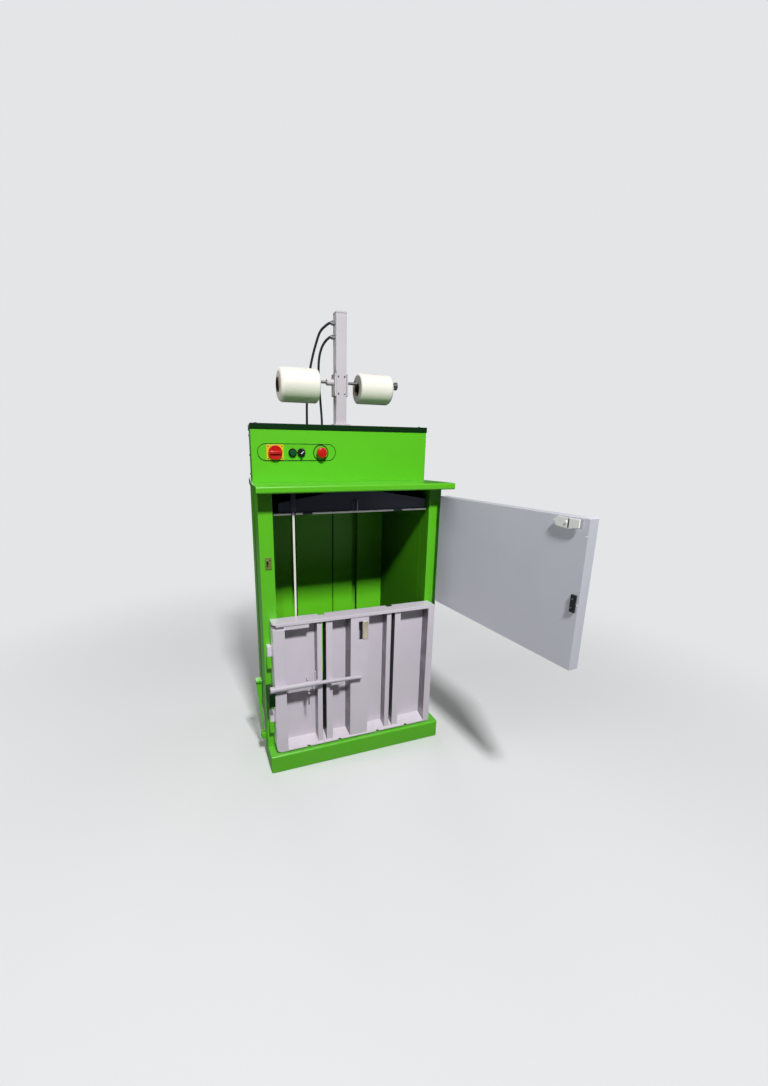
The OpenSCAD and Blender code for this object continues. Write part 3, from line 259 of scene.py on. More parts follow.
def lay_skin(tree, shader, colour, skin, strength, distance):
    """Puts a colour and a skin's roughness and bumps on the shader."""
    tree.links.new(colour, shader.inputs["Base Color"])
    tree.links.new(skin["Roughness"], shader.inputs["Roughness"])
    b = add(tree, "ShaderNodeBump")
    b.inputs["Strength"].default_value = strength
    b.inputs["Distance"].default_value = distance
    tree.links.new(skin["Height"], b.inputs["Height"])
    tree.links.new(b.outputs["Normal"], shader.inputs["Normal"])


def painted(name, colour, rough=0.38, drift=0.06, scuffs=0.25, scuff_colour=(0.7, 0.7, 0.7, 1),
            ledge=0.2, low=0.25, reach=0.18, coat=0.15, specular=0.5):
    """Gloss paint. Ledge and low are how much dust lies on ledges and low down, up to reach."""
    m, tree, shader = blank_material(name)
    skin = place_group(tree, PAINT, Colour=colour, Drift=drift, Scuff_Colour=scuff_colour, Scuffs=scuffs,
                       Gloss_Roughness=rough)
    dust = place_group(tree, DUST, Colour=skin["Colour"], Ledge_Dust=ledge, Floor_Dust=low, Reach=reach)
    lay_skin(tree, shader, dust["Colour"], skin, strength=0.25, distance=0.0004)
    shader.inputs["Specular IOR Level"].default_value = specular
    shader.inputs["Coat Weight"].default_value = coat
    shader.inputs["Coat Roughness"].default_value = 0.14
    return m


def moulded(name, colour, rough=0.4, drift=0.04):
    """Plastic, rubber, board or woven band: no coat and no dust."""
    m, tree, shader = blank_material(name)
    skin = place_group(tree, PAINT, Colour=colour, Drift=drift, Scuffs=0.15, Gloss_Roughness=rough)
    lay_skin(tree, shader, skin["Colour"], skin, strength=0.12, distance=0.0003)
    return m


def metal(name, colour, rough, lines=0.25):
    """Bare metal. Lines is how strongly its drawn lines show."""
    m, tree, shader = blank_material(name)
    skin = place_group(tree, DRAWN, Colour=colour, Lines=lines, Roughness=rough)
    lay_skin(tree, shader, skin["Colour"], skin, strength=0.15, distance=0.0003)
    shader.inputs["Metallic"].default_value = 1.0
    return m


def overlay(m, mask, colour):
    """The material with a second colour laid over its own where the mask says."""
    base = shader_of(m).inputs["Base Color"]
    under = base.links[0].from_socket
    m.node_tree.links.new(mixed(m.node_tree, mask, under, colour), base)
    return m


GREEN_TONE = srgb(100, 206, 34)
PALE_SCUFF = srgb(120, 116, 122)


def green_paint(name, colour=GREEN_TONE, coat=0.5):
    """The body's gloss green, with hardly any drift or dust."""
    return painted(name, colour, rough=0.34, drift=0.03, scuff_colour=srgb(150, 215, 110),
                   ledge=0.12, low=0.08, reach=0.1, coat=coat)


def chamber_paint(name, **values):
    """Green paint for the chamber's walls. Other rays than the camera's meet a dark tone, so that little light
    bounces between the walls and the chamber stays as dark as in the photo."""
    m = green_paint(name, **values)
    seen = add(m.node_tree, "ShaderNodeLightPath").outputs["Is Camera Ray"]
    return overlay(m, maths(m.node_tree, "SUBTRACT", 1.0, seen), srgb(20, 48, 12))


def press_paint():
    """Dark paint as painted shade on the press plate, with a painted lit strip in pale along its lower front edge.
    """
    # painted shade: the plate's dark tone
    m = painted("shaded_press_paint_with_lit_edge", srgb(70, 76, 96), rough=0.4, scuff_colour=srgb(120, 122, 130), scuffs=0.5,
                ledge=0.1)
    tree = m.node_tree
    coords = object_coords(tree)
    place = axes(tree, coords)
    # a wobble along the edge of the painted lit strip
    strip_wobble = maths(tree, "SUBTRACT", noise(tree, coords, scale=60.0), 0.5)
    height = maths(tree, "ADD", place["Z"], maths(tree, "MULTIPLY", strip_wobble, 0.004))
    low = ramp(tree, height, (PLATE_LIP + 1) * MM, (PLATE_LIP - 1) * MM)
    front = ramp(tree, place["Y"], (PLATE_FRONT + SLACK) * MM, (PLATE_FRONT - SLACK) * MM)
    # painted highlight: the pale lit strip along the plate's lower front edge
    return overlay(m, maths(tree, "MULTIPLY", low, front), srgb(236, 236, 230))


def door_paint():
    """The lower door's pale paint, with painted shade in patches on the side faces of the folds inside its rim."""
    m = painted("pale_folded_door_paint", srgb(232, 224, 235), rough=0.4, drift=0.04, coat=0.4,
                scuff_colour=PALE_SCUFF, scuffs=0.35)
    tree = m.node_tree
    coords = add(tree, "ShaderNodeTexCoord").outputs
    facing, place = axes(tree, coords["Normal"]), axes(tree, coords["Object"])
    middle, half = (DOOR_LEFT + DOOR_RIGHT) / 2, (DOOR_RIGHT - DOOR_LEFT) / 2
    sides = ramp(tree, maths(tree, "ABSOLUTE", facing["X"]), 0.75, 0.95)
    deep = ramp(tree, place["Y"], (DOOR_FRONT + 1) * MM, (DOOR_FRONT + 4) * MM)
    aside = maths(tree, "ABSOLUTE", maths(tree, "SUBTRACT", place["X"], middle * MM))
    inner = ramp(tree, aside, (half - 1) * MM, (half - 2.5) * MM)
    patchy = ramp(tree, noise(tree, coords["Object"], scale=11.0), 0.25, 0.5, to_low=0.55, to_high=0.8)
    # painted shade: dark grey on the folds' sideways faces, which the light only grazes
    return overlay(m, maths(tree, "MULTIPLY", sides, deep, inner, patchy), srgb(78, 72, 78))


SLOT_FINISH = {
    "green_paint": green_paint("green_gloss_paint"),
    # partly painted shade: this green was darkened towards the tone of the chamber's shade
    "dark_green_paint": painted("deep_green_paint_and_shade", srgb(11, 48, 17), rough=0.4, ledge=0.08, specular=0.15),
    "pale_paint": painted("pale_lilac_grey_paint", srgb(208, 201, 211), rough=0.45, drift=0.04,
                          scuff_colour=PALE_SCUFF, scuffs=0.35),
    "grey_paint": painted("light_grey_paint", srgb(208, 201, 208), rough=0.42),
    "dark_paint": press_paint(),
    "white_paint": painted("white_latch_paint", srgb(250, 250, 248), rough=0.35, drift=0.02),
    "plain_steel": metal("plain_steel", srgb(150, 152, 156), rough=0.35),
    "rod_chrome": metal("hard_chrome", srgb(205, 207, 210), rough=0.12, lines=0.05),
    "hose_rubber": moulded("hose_rubber", srgb(22, 22, 24), rough=0.55),
    "white_band": moulded("white_woven_band", srgb(250, 247, 236), rough=0.5, drift=0.02),
    "core_board": moulded("brown_board", srgb(112, 92, 72), rough=0.8),
    "black_plastic": moulded("black_moulding", srgb(24, 24, 26), rough=0.4),
    "grey_plastic": moulded("grey_moulding", srgb(140, 142, 146), rough=0.45),
    "yellow_plastic": moulded("yellow_moulding", srgb(240, 200, 30), rough=0.35),
    "red_plastic": moulded("red_moulding", srgb(205, 24, 22), rough=0.3),
    "green_plastic": moulded("green_moulding", srgb(16, 84, 40), rough=0.3),
}
SIDE_GREEN = chamber_paint("side_wall_paint")
NODE_FINISH = {
    "upper_door": painted("blue_grey_door_paint", srgb(217, 219, 230), rough=0.42, drift=0.03, scuffs=0.15),
    "lower_door": door_paint(),
    "interlock_switch": moulded("olive_switch_housing", srgb(118, 132, 62), rough=0.45),
    "left_side_wall": SIDE_GREEN,
    "right_side_wall": SIDE_GREEN,
    # painted light: the rear wall's green is a lit copy of the body's green, lighter to brighten its lit part
    "rear_wall": chamber_paint("rear_wall_paint", colour=srgb(118, 236, 42), coat=0.05),
}
CARD_BEIGE = moulded("beige_board", srgb(205, 196, 172), rough=0.6)
SEAM_GREEN = painted("seam_green_paint", srgb(14, 60, 20), rough=0.5)


def finish_of(node):
    return NODE_FINISH.get(node, SLOT_FINISH[node_slot[node]])


def coat_with(obj, finish):
    obj.data.materials.clear()
    obj.data.materials.append(finish)


for node, obj in frame["nodes"].items():
    coat_with(obj, finish_of(node))


# ---------------------------------------------------------------- modelling helpers
def in_mm(corners):
    """A box's two corners in millimetres."""
    return [corner / MM for corner in corners]


def deselect():
    bpy.ops.object.select_all(action="DESELECT")


def only(obj):
    deselect()
    obj.select_set(True)
    bpy.context.view_layer.objects.active = obj


def object_mode():
    bpy.ops.object.mode_set(mode="OBJECT")


def edit_mode():
    bpy.ops.object.mode_set(mode="EDIT")


def edit_all():
    """Enters edit mode with the whole mesh selected."""
    edit_mode()
    bpy.ops.mesh.select_all(action="SELECT")


def apply_place():
    bpy.ops.object.transform_apply(location=True, rotation=True, scale=True)


def apply_modifier(obj, name, kind, **settings):
    """Gives the active object a modifier with these settings and applies it."""
    made = obj.modifiers.new(name, kind)
    for key, value in settings.items():
        setattr(made, key, value)
    bpy.ops.object.modifier_apply(modifier=made.name)


def block(x, y, z):
    """A block between two limits on each axis."""
    deselect()
    middle = [(a + b) / 2 * MM for a, b in (x, y, z)]
    size = [(b - a) * MM for a, b in (x, y, z)]
    bpy.ops.mesh.primitive_cube_add(size=1, location=middle, scale=size)
    apply_place()
    return bpy.context.object


def cylinder(sides, radius, depth, middle=(0, 0, 0), tip=0):
    """A cylinder about its middle, upright or tipped about X by an angle in radians."""
    deselect()
    bpy.ops.mesh.primitive_cylinder_add(vertices=sides, radius=radius * MM, depth=depth * MM,
                                        location=[v * MM for v in middle], rotation=(tip, 0, 0))
    return bpy.context.object


def clear_picks(obj, kind):
    """Deselects the whole mesh and sets its select mode."""
    only(obj)
    edit_mode()
    bpy.ops.mesh.select_all(action="DESELECT")
    bpy.ops.mesh.select_mode(type=kind)
    object_mode()


def pick_faces(obj, test):
    """Enters edit mode with only the faces selected whose middle and normal pass the test."""
    clear_picks(obj, "FACE")
    for face in obj.data.polygons:
        face.select = test(face.center / MM, face.normal)
    edit_mode()


def pick_edges(obj, test):
    """Enters edit mode with only the edges selected whose two ends pass the test."""
    clear_picks(obj, "EDGE")
    points = obj.data.vertices
    for edge in obj.data.edges:
        edge.select = test(*(points[k].co / MM for k in edge.vertices))
    edit_mode()


def inset(thickness, depth=0):
    """Insets the selected faces and sinks them if the depth is below zero."""
    bpy.ops.mesh.inset(thickness=thickness * MM, depth=depth * MM)


def draw_out(x=0, y=0, z=0):
    """Extrudes the selected faces along a vector."""
    bpy.ops.mesh.extrude_region_move(TRANSFORM_OT_translate={"value": (x * MM, y * MM, z * MM)})


def bevelled(obj, width, segments=2):
    """Rounds every edge that turns by more than 35 degrees."""
    only(obj)
    apply_modifier(obj, "rounded_edges", "BEVEL", width=width * MM, segments=segments, limit_method="ANGLE",
                   angle_limit=math.radians(35), use_clamp_overlap=False, harden_normals=False)


def cut_away(piece, tool):
    """Takes the tool's shape out of the piece and clears the tool."""
    only(piece)
    apply_modifier(piece, "cut", "BOOLEAN", operation="DIFFERENCE", solver="EXACT", object=tool)
    bpy.data.objects.remove(tool, do_unlink=True)


def finish_piece(obj, name, finish, body):
    """Names the piece, coats it and fixes it to its body."""
    obj.name = name
    obj.data.name = name
    coat_with(obj, finish)
    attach(obj, body)


def settle(obj, name, node, slot, finish=None, smooth=30):
    """Leaves a piece modelled here at the origin, its place in its mesh and its normals outwards, and finishes it
    as a piece on the CAD node's body. Edges that turn by less than smooth, in degrees, are shaded smooth."""
    only(obj)
    apply_place()
    edit_all()
    bpy.ops.mesh.normals_make_consistent(inside=False)
    object_mode()
    bpy.ops.object.shade_smooth_by_angle(angle=math.radians(smooth))
    finish_piece(obj, name, finish or SLOT_FINISH[slot], node_body[node])


# ---------------------------------------------------------------- folded and rounded parts
def copy_of(node):
    """A copy of the CAD part as one closed mesh with whole faces, ready to be rounded."""
    source = frame["nodes"][node]
    piece = source.copy()
    piece.data = source.data.copy()
    piece.parent = None
    piece.matrix_world = source.matrix_world.copy()
    bpy.context.scene.collection.objects.link(piece)
    only(piece)
    edit_all()
    bpy.ops.mesh.remove_doubles(threshold=0.02 * MM)
    bpy.ops.mesh.dissolve_limited(angle_limit=math.radians(1.0))
    object_mode()
    return piece


def dressed(node, width, nose=None, first=None):
    """Puts a rounded copy in the CAD part's place. First is a function that reshapes the copy. A nose is a test on
    an edge's two ends, a radius and a number of segments. Width is the rounding of all other sharp edges."""
    piece = copy_of(node)
    if first:
        first(piece)
    if nose:
        test, radius, segments = nose
        pick_edges(piece, test)
        bpy.ops.mesh.bevel(offset=radius * MM, segments=segments, clamp_overlap=True)
        object_mode()
    if width:
        bevelled(piece, width)
    bpy.ops.object.shade_smooth_by_angle(angle=math.radians(50))
    apply_modifier(piece, "flat_faces", "WEIGHTED_NORMAL", weight=90, keep_sharp=True)
    finish_piece(piece, node + "_finished", finish_of(node), node_body[node])
    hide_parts(node)


def flange_nose(a, b):
    """The two long edges along the front of the top plate's fold."""
    return abs(a.y - b.y) < SLACK and abs(a.x - b.x) > ACROSS and a.y < FLANGE_FRONT


def base_corner(a, b):
    """The base's upright front corners and the long edge along the top of its front."""
    upright = abs(a.z - b.z) > 30 and abs(a.x) > BASE_SIDE
    along = abs(a.x - b.x) > ACROSS and min(a.z, b.z) > BASE_TOP
    return max(a.y, b.y) < BASE_FRONT and (upright or along)


def door_rim(a, b):
    """The lower door's outer fold: its upright edges, the edges along its foot and head, and its round feet."""
    left, right = min(a.x, b.x), max(a.x, b.x)
    low, high = min(a.z, b.z), max(a.z, b.z)
    upright = high - low > 20 and (right < DOOR_LEFT + SLACK or left > DOOR_RIGHT - SLACK)
    along = right - left > 50 and (high < DOOR_FOOT + 1.5 or low > DOOR_TOP - 1.5)
    foot = any(high < DOOR_FOOT + radius + SLACK
               and max(way * (left - edge), way * (right - edge)) < radius + SLACK
               for edge, way, radius in DOOR_FEET)
    return max(a.y, b.y) < DOOR_FRONT + 1 and (upright or along or foot)


def button_rim(a, b):
    """The rim of the stop button's face."""
    return max(a.y, b.y) < BUTTON_FACE


def round_feet(door):
    """Cuts the door's two bottom corners round, each with a block that a rod has hollowed."""
    for edge, way, radius in DOOR_FEET:
        x, z = edge + way * radius, DOOR_FOOT + radius
        cutter = block(x=sorted((edge - 3 * way, x)), y=FOLD_DEPTH, z=(DOOR_FOOT - 3, z))
        rod = cylinder(48, radius, depth=80, middle=(x, sum(FOLD_DEPTH) / 2, z), tip=QUARTER)
        cut_away(cutter, rod)
        cut_away(door, cutter)


def ease_back(button):
    """Brings the back of the button's head 0.1 mm forward, so that it stays clear of its ring when pushed in."""
    pick_faces(button, lambda middle, normal: normal.y > 0.9 and abs(middle.y - BUTTON_BACK) < 0.25)
    bpy.ops.transform.translate(value=(0, -0.1 * MM, 0))
    object_mode()


ROUNDED = {
    "header_cover": 1.2, "header_lid": 1.6, "left_post": 1.6, "right_post": 1.6, "upper_door": 1.2, "platen": 1.0,
    "cylinder_shroud": 1.6, "tower_cap": 1.0, "lock_bar": 0.8, "lock_guides": 0.6, "lock_keeper": 0.8,
    "door_latch": 0.8, "interlock_key": 0.8, "interlock_switch": 0.6, "switch_plate": 0.7, "selector_knob": 0.9,
    "door_rests": 0.6, "rear_wall": 1.4, "left_side_wall": 1.4, "right_side_wall": 1.4, "roll_bracket": 0.8,
    "ejector_lever": 0.8, "header_rear_panel": 0.8,
}
for node, width in ROUNDED.items():
    dressed(node, width)
dressed("top_flange", 0.8, nose=(flange_nose, 6, 6))
dressed("base_plinth", 1.2, nose=(base_corner, 7, 5))
dressed("lower_door", 0.9, nose=(door_rim, 3.5, 4), first=round_feet)
dressed("stop_button", 0, nose=(button_rim, 3.5, 5), first=ease_back)


# ---------------------------------------------------------------- small pieces
def surface_at(node, start, toward):
    """Where a line from start first meets the CAD part."""
    mesh = frame["nodes"][node].data
    tree = BVHTree.FromPolygons([v.co for v in mesh.vertices], [p.vertices for p in mesh.polygons])
    return tree.ray_cast(Vector(start) * MM, Vector(toward))[0] / MM


def make_strap_shade_sleeve():
    """A dark sleeve over the band's upper part under the top plate: painted shade where the band lies in shadow.
    """
    shade_sleeve = block(x=(-234, -217), y=(-186.4, -182.4), z=(963.5, 1036.8))
    pick_faces(shade_sleeve, lambda middle, normal: normal.z < -0.5)
    inset(0.7)
    draw_out(z=12)
    object_mode()
    bevelled(shade_sleeve, 0.4)
    # painted shade: a dark sleeve that darkens the band where it lies in the top plate's shadow
    settle(shade_sleeve, "strap_shade_sleeve", "strap_left", "dark_paint")


def make_band():
    """The white woven band itself, narrower than its CAD part, with a raised edge on both sides."""
    low, high = in_mm(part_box("strap_left"))
    x, half = (low.x + high.x) / 2, 3.6
    band = block(x=(x - half, x + half), y=(low.y + 0.2, high.y - 0.1), z=(low.z, high.z - 4))
    pick_faces(band, lambda middle, normal: abs(normal.y) > 0.5)
    inset(1.1)
    inset(0.4, depth=-0.2)
    object_mode()
    bevelled(band, 0.2)
    settle(band, "strap_band", "strap_left", "white_band")
    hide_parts("strap_left")


def make_control_outline():
    """The thin dark line round the row of controls, 0.5 mm inside the field's own edge."""
    low, high = in_mm(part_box("control_field"))
    middle = (low + high) / 2
    wide, tall = high.x - low.x - 1, high.z - low.z - 1
    deselect()
    bpy.ops.mesh.primitive_plane_add(size=1, location=Vector((middle.x, low.y - 0.1, middle.z)) * MM,
                                     rotation=(QUARTER, 0, 0))
    line = bpy.context.object
    line.scale = (wide * MM, tall * MM, 1)
    apply_place()
    edit_all()
    rounding, line_width = 0.995 * tall / 2, 2.3    # just under half its height, so that its ends come out round
    bpy.ops.mesh.bevel(offset=rounding * MM, segments=12, affect="VERTICES")
    inset(line_width)
    bpy.ops.mesh.delete(type="FACE")
    object_mode()
    apply_modifier(line, "thickness", "SOLIDIFY", thickness=0.6 * MM, offset=0)
    settle(line, "control_outline", "control_field", "black_plastic")


def make_selector_mark():
    """The pale pointer across the selector's grip, turned with it by 42 degrees."""
    low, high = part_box("selector_knob")
    middle = (low + high) / 2
    mark = block(x=(-6.5, 6.5), y=(-0.5, 0.4), z=(-1.2, 1.2))
    bevelled(mark, 0.3)
    mark.rotation_euler = (0, math.radians(-42), 0)
    mark.location = (middle.x, low.y, middle.z)
    settle(mark, "selector_mark", "selector_knob", "white_paint")


def make_switch_knob():
    """The red knob: a dished disc, just clear of its plate, with a rounded grip across it."""
    low, high = in_mm(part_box("switch_knob"))
    middle, radius = (low + high) / 2, (high.x - low.x) / 2
    back, thick = in_mm(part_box("switch_plate"))[0].y - 0.4, 8
    disc = cylinder(64, radius, thick, middle=(middle.x, back - thick / 2, middle.z), tip=QUARTER)
    apply_place()
    pick_faces(disc, lambda middle, normal: normal.y < -0.9)
    inset(4)
    inset(6, depth=-1.2)
    object_mode()
    bevelled(disc, 1.2, segments=3)
    grip = block(x=(low.x + 4, high.x - 4), y=(low.y + 5, back - 6), z=(middle.z - 5.5, middle.z + 5.5))
    bevelled(grip, 2.8, segments=4)
    only(disc)
    grip.select_set(True)
    bpy.ops.object.join()
    settle(disc, "switch_knob_moulded", "switch_knob", "red_plastic")
    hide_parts("switch_knob")


def make_press_rib():
    """The bare steel strip that stiffens the press plate's web in the middle."""
    rib = block(x=(7.5, 13), y=(-187.4, -181.5), z=(961, 1002))
    bevelled(rib, 0.6)
    settle(rib, "press_rib", "platen", "plain_steel")


def make_latch_details():
    """The latch's slot as a black sliver, painted shade for its depth, and the two rivets of the interlock key."""
    low, high = in_mm(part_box("door_latch"))
    middle = (low + high) / 2
    place = surface_at("door_latch", (200, middle.y - 9, middle.z), (1, 0, 0))
    slot = block(x=(place.x - 0.5, place.x + 0.4), y=(place.y - 1.8, place.y + 1.8),
                 z=(middle.z - 12, middle.z + 12))
    # painted shade: black for the depth of the latch's slot
    bevelled(slot, 0.3)
    settle(slot, "latch_slot", "door_latch", "black_plastic")
    low, high = in_mm(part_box("interlock_key"))
    for k, z in enumerate((low.z + 12, high.z - 12), 1):
        place = surface_at("interlock_key", (200, (low.y + high.y) / 2, z), (1, 0, 0))
        screw("key_rivet_%d" % k, place, (-1, 0, 0), 2.2, "interlock_key", "plain_steel")


def make_switch_mouth():
    """The interlock switch's mouth, which the key enters, as a black plate: painted shade for its depth."""
    low = in_mm(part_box("interlock_switch"))[0]
    x, y, z = low.x + 7.5, low.y, low.z + 24
    mouth = block(x=(x - 3.4, x + 3.4), y=(y - 0.4, y + 0.4), z=(z - 7, z + 7))
    # painted shade: black for the depth of the switch's mouth
    bevelled(mouth, 0.3)
    settle(mouth, "interlock_mouth", "interlock_switch", "black_plastic")


def make_card_holder():
    """The small beige holder on the lower door's middle rib: a bare card in a raised rim."""
    y = surface_at("lower_door", (22, -900, 520), (0, 1, 0)).y
    holder = block(x=(12, 33), y=(y - 2.4, y + 0.3), z=(487, 556))
    pick_faces(holder, lambda middle, normal: normal.y < -0.5)
    inset(2.2)
    draw_out(y=1.2)
    object_mode()
    bevelled(holder, 0.5)
    settle(holder, "card_holder", "lower_door", "pale_paint", finish=CARD_BEIGE)


def make_wall_seam():
    """The lapped joint of the rear wall's two sheets."""
    seam = block(x=(48.5, 51.5), y=(229.3, 230.3), z=(80, 1040))
    bevelled(seam, 0.3)
    settle(seam, "rear_wall_seam", "rear_wall", "dark_green_paint", finish=SEAM_GREEN)


# ---------------------------------------------------------------- band rolls
TURN, TURN_STEP = 1.6, 0.7          # a turn's thickness on a roll's end, and how deep every second one lies
LAYS, LAY_STEP = 22, 0.5            # the lays along a roll, and how deep every second one lies
SHOULDER_STEPS = 6                  # the straight pieces that a round shoulder is drawn with


def roll_end(outer, bore, shoulder):
    """The end of a wound roll, from its bore out over its shoulder, as (depth from the end, radius) pairs."""
    flat = outer - shoulder - bore
    turns = int(flat / TURN)
    end = [(TURN_STEP * (k % 2), bore + flat * k / turns) for k in range(turns + 1)]
    for k in range(1, SHOULDER_STEPS + 1):
        a = QUARTER * k / SHOULDER_STEPS
        end.append((shoulder * (1 - math.cos(a)), outer - shoulder + shoulder * math.sin(a)))
    return end


def roll_profile(outer, bore, half, left_shoulder, right_shoulder):
    """A wound roll's half section from end to end, as (place along the axis, radius) pairs."""
    start, stop = left_shoulder - half, half - right_shoulder
    lay = [(start + (stop - start) * k / LAYS, outer - LAY_STEP * (k % 2)) for k in range(1, LAYS)]
    left = [(depth - half, r) for depth, r in roll_end(outer, bore, left_shoulder)]
    right = [(half - depth, r) for depth, r in roll_end(outer, bore, right_shoulder)]
    return left + lay + right[::-1]


def wind_roll(side, trim, left_shoulder, right_shoulder):
    """A roll of white band, drawn out of a disc ring by ring: round shoulders, turns on its ends, lays along it.
    Trim is how much shorter it is than its CAD part at each end."""
    node = "strap_roll_" + side
    low, high = in_mm(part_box(node))
    core_low, core_high = in_mm(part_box("roll_core_" + side))
    centre = (low + high) / 2
    bore = (core_high.z - core_low.z) / 2 + 0.2
    half = (high.x - low.x) / 2 - trim
    rings = roll_profile((high.z - low.z) / 2, bore, half, left_shoulder, right_shoulder)
    along, radius = rings[0]
    deselect()
    bpy.ops.mesh.primitive_circle_add(vertices=72, radius=radius * MM, fill_type="NGON",
                                      location=Vector((centre.x + along, centre.y, centre.z)) * MM,
                                      rotation=(0, QUARTER, 0))
    roll = bpy.context.object
    apply_place()
    edit_mode()
    bpy.ops.mesh.select_mode(type="FACE")
    bpy.ops.mesh.select_all(action="SELECT")
    for next_along, next_radius in rings[1:]:
        draw_out(x=next_along - along)
        grow = next_radius / radius
        bpy.ops.transform.resize(value=(1, grow, grow), center_override=centre * MM)
        along, radius = next_along, next_radius
    object_mode()
    pick_faces(roll, lambda middle, normal: (middle.yz - centre.yz).length < 0.1)
    bpy.ops.mesh.delete(type="ONLY_FACE")
    bpy.ops.mesh.select_mode(type="EDGE")
    bpy.ops.mesh.select_non_manifold()
    bpy.ops.mesh.bridge_edge_loops()
    object_mode()
    settle(roll, node + "_wound", node, "white_band", smooth=60)
    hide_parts(node)


# ---------------------------------------------------------------- screws
# A pan head's measures, over its radius
HEAD_HEIGHT, HEAD_ROUNDING, HEAD_RIM, HEAD_RECESS, HEAD_STAND = 0.9, 0.28, 0.25, 0.4, 0.4


def screw(name, place, toward, radius, node, slot):
    """A pan head screw with a round recess. Its head stands out along toward from place."""
    head = cylinder(24, radius, HEAD_HEIGHT * radius)
    pick_faces(head, lambda middle, normal: normal.z > 0.5)
    bpy.ops.mesh.bevel(offset=HEAD_ROUNDING * radius * MM, segments=3)
    object_mode()
    pick_faces(head, lambda middle, normal: normal.z > 0.999)
    inset(HEAD_RIM * radius)
    draw_out(z=-HEAD_RECESS * radius)
    object_mode()
    toward = Vector(toward)
    head.rotation_euler = toward.to_track_quat("Z", "Y").to_euler()
    head.location = (Vector(place) + toward * HEAD_STAND * radius) * MM
    settle(head, name, node, slot)


def make_screws():
    """The heads at the switch plate's corners, on both sides of the header and on the roll bracket."""
    low, high = in_mm(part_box("switch_plate"))
    inward = 5.5        # from the plate's edges
    heads = [((x, low.y, z), (0, -1, 0), 2.1, "switch_plate", "plain_steel")
             for x in (low.x + inward, high.x - inward) for z in (low.z + inward, high.z - inward)]
    for z in (1085, 1155, 1225):
        for side in (-1, 1):
            place = surface_at("header_cover", (side * 900, 60, z), (-side, 0, 0))
            heads.append((place, (side, 0, 0), 3.4, "header_cover", "green_paint"))
    for z in (1376, 1435):
        for x in (-12, 12):
            heads.append(((x, -40, z), (0, -1, 0), 3.0, "roll_bracket", "plain_steel"))
    for k, head in enumerate(heads, 1):
        screw("screw_%02d" % k, *head)


make_strap_shade_sleeve()
make_band()
make_control_outline()
make_selector_mark()
make_switch_knob()
make_press_rib()
make_latch_details()
make_switch_mouth()
make_card_holder()
make_wall_seam()
wind_roll("left", trim=4, left_shoulder=17, right_shoulder=9)
wind_roll("right", trim=0, left_shoulder=9, right_shoulder=13)
make_screws()


# ---------------------------------------------------------------- camera
EYE = Vector((-0.5655, -1.6820, 1.1637))
YAW, PITCH, ROLL = math.radians(20.19), math.radians(14.66), math.radians(0.377)
IMAGE_W, IMAGE_H = 768, 1086
FOCAL_PX, CENTRE_X, CENTRE_Y = 440.46, 350.12, 568.36
SENSOR = 36.0


def place_camera():
    """The camera that was fitted to the photo: it looks ahead and down, and leans by a little roll."""
    ahead = Vector((math.sin(YAW) * math.cos(PITCH), math.cos(YAW) * math.cos(PITCH), -math.sin(PITCH)))
    right = Vector((math.cos(YAW), -math.sin(YAW), 0))
    up = right.cross(ahead)
    across = math.cos(ROLL) * right + math.sin(ROLL) * up
    upright = -math.sin(ROLL) * right + math.cos(ROLL) * up
    bpy.ops.object.camera_add()
    camera = bpy.context.object
    camera.name = "camera"
    turn = Matrix((across, upright, -ahead)).transposed().to_4x4()
    camera.matrix_world = Matrix.Translation(EYE) @ turn
    camera.data.sensor_fit = "AUTO"
    camera.data.sensor_width = SENSOR
    camera.data.lens = FOCAL_PX / IMAGE_H * SENSOR
    camera.data.shift_x = (IMAGE_W / 2 - CENTRE_X) / IMAGE_H
    camera.data.shift_y = (CENTRE_Y - IMAGE_H / 2) / IMAGE_H
    camera.data.clip_start = 0.01
    bpy.context.scene.camera = camera


place_camera()


# ---------------------------------------------------------------- floor, world and lamps
HORIZON = srgb(228, 229, 231)
FADE_START, FADE_END = 0.7, 2.6     # how far from the machine the floor starts to fade, and is gone
KEY_AIM = Vector((0, -0.28, 1.04))
KEY_PLACE = KEY_AIM + 4.0 * Vector((-0.068, -0.698, 0.713))


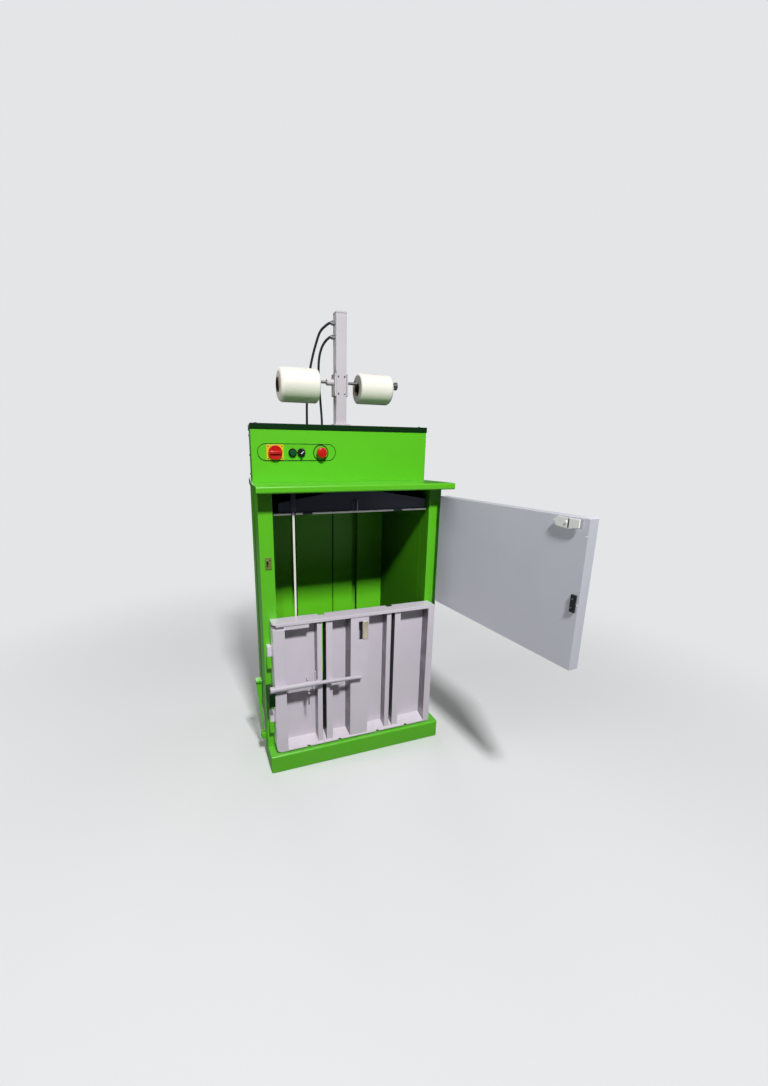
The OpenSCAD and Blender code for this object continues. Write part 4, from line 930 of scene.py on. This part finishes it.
def make_floor():
    """A pale floor: it takes the shadow near the machine and fades into the horizon's tone further out. Other rays
    than the camera's meet a darker tone, so that it throws less light up at the machine."""
    bpy.ops.mesh.primitive_plane_add(size=60, location=(0, 0, 0))
    floor = bpy.context.object
    floor.name = "floor"
    m, tree, shader = blank_material("pale_floor")
    seen = add(tree, "ShaderNodeLightPath").outputs["Is Camera Ray"]
    shader.inputs["Roughness"].default_value = 0.8
    shader.inputs["Specular IOR Level"].default_value = 0.1
    tree.links.new(mixed(tree, seen, srgb(112, 113, 114), srgb(236, 237, 238)), shader.inputs["Base Color"])
    glow = add(tree, "ShaderNodeEmission")
    glow.inputs["Color"].default_value = HORIZON
    distance = add(tree, "ShaderNodeVectorMath", operation="LENGTH")
    tree.links.new(object_coords(tree), distance.inputs[0])
    far = ramp(tree, distance.outputs["Value"], FADE_START, FADE_END, interpolation_type="SMOOTHSTEP")
    blend = add(tree, "ShaderNodeMixShader")
    tree.links.new(maths(tree, "MULTIPLY", far, seen), blend.inputs["Fac"])
    tree.links.new(shader.outputs["BSDF"], blend.inputs[1])
    tree.links.new(glow.outputs["Emission"], blend.inputs[2])
    tree.links.new(blend.outputs["Shader"], tree.nodes["Material Output"].inputs["Surface"])
    floor.data.materials.append(m)


def make_world():
    """A dim, even light, and behind it the horizon's tone for the camera alone."""
    world = bpy.data.worlds.new("studio")
    bpy.context.scene.world = world
    world.use_nodes = True
    tree = world.node_tree
    light = tree.nodes["Background"]
    light.inputs["Color"].default_value = (0.97, 0.98, 1, 1)
    light.inputs["Strength"].default_value = 0.045
    backdrop = add(tree, "ShaderNodeBackground")
    backdrop.inputs["Color"].default_value = HORIZON
    rays = add(tree, "ShaderNodeLightPath").outputs
    pick = add(tree, "ShaderNodeMixShader")
    tree.links.new(maths(tree, "MAXIMUM", rays["Is Camera Ray"], rays["Is Transmission Ray"]), pick.inputs["Fac"])
    tree.links.new(light.outputs["Background"], pick.inputs[1])
    tree.links.new(backdrop.outputs["Background"], pick.inputs[2])
    tree.links.new(pick.outputs["Shader"], tree.nodes["World Output"].inputs["Surface"])


def add_lamp(name, place, aim, size, power):
    """A square lamp at a place, turned to its aim, in metres and watts."""
    bpy.ops.object.light_add(type="AREA", location=place)
    lamp = bpy.context.object
    lamp.name = name
    lamp.data.size = size
    lamp.data.energy = power
    lamp.rotation_euler = (Vector(aim) - Vector(place)).to_track_quat("-Z", "Y").to_euler()


make_floor()
make_world()
add_lamp("key_lamp", KEY_PLACE, KEY_AIM, size=0.4, power=175)
add_lamp("left_fill", (-3.6, 0.1, 1.5), (0.36, -0.54, 0.8), size=0.8, power=37)
add_lamp("rear_fill", (0.3, 3.6, 2.6), (0, 0, 0.7), size=2.4, power=45)
add_lamp("right_fill", (3.4, 0.8, 2.2), (0.2, 0, 0.7), size=2.0, power=16)
bpy.context.scene.view_settings.view_transform = "Standard"
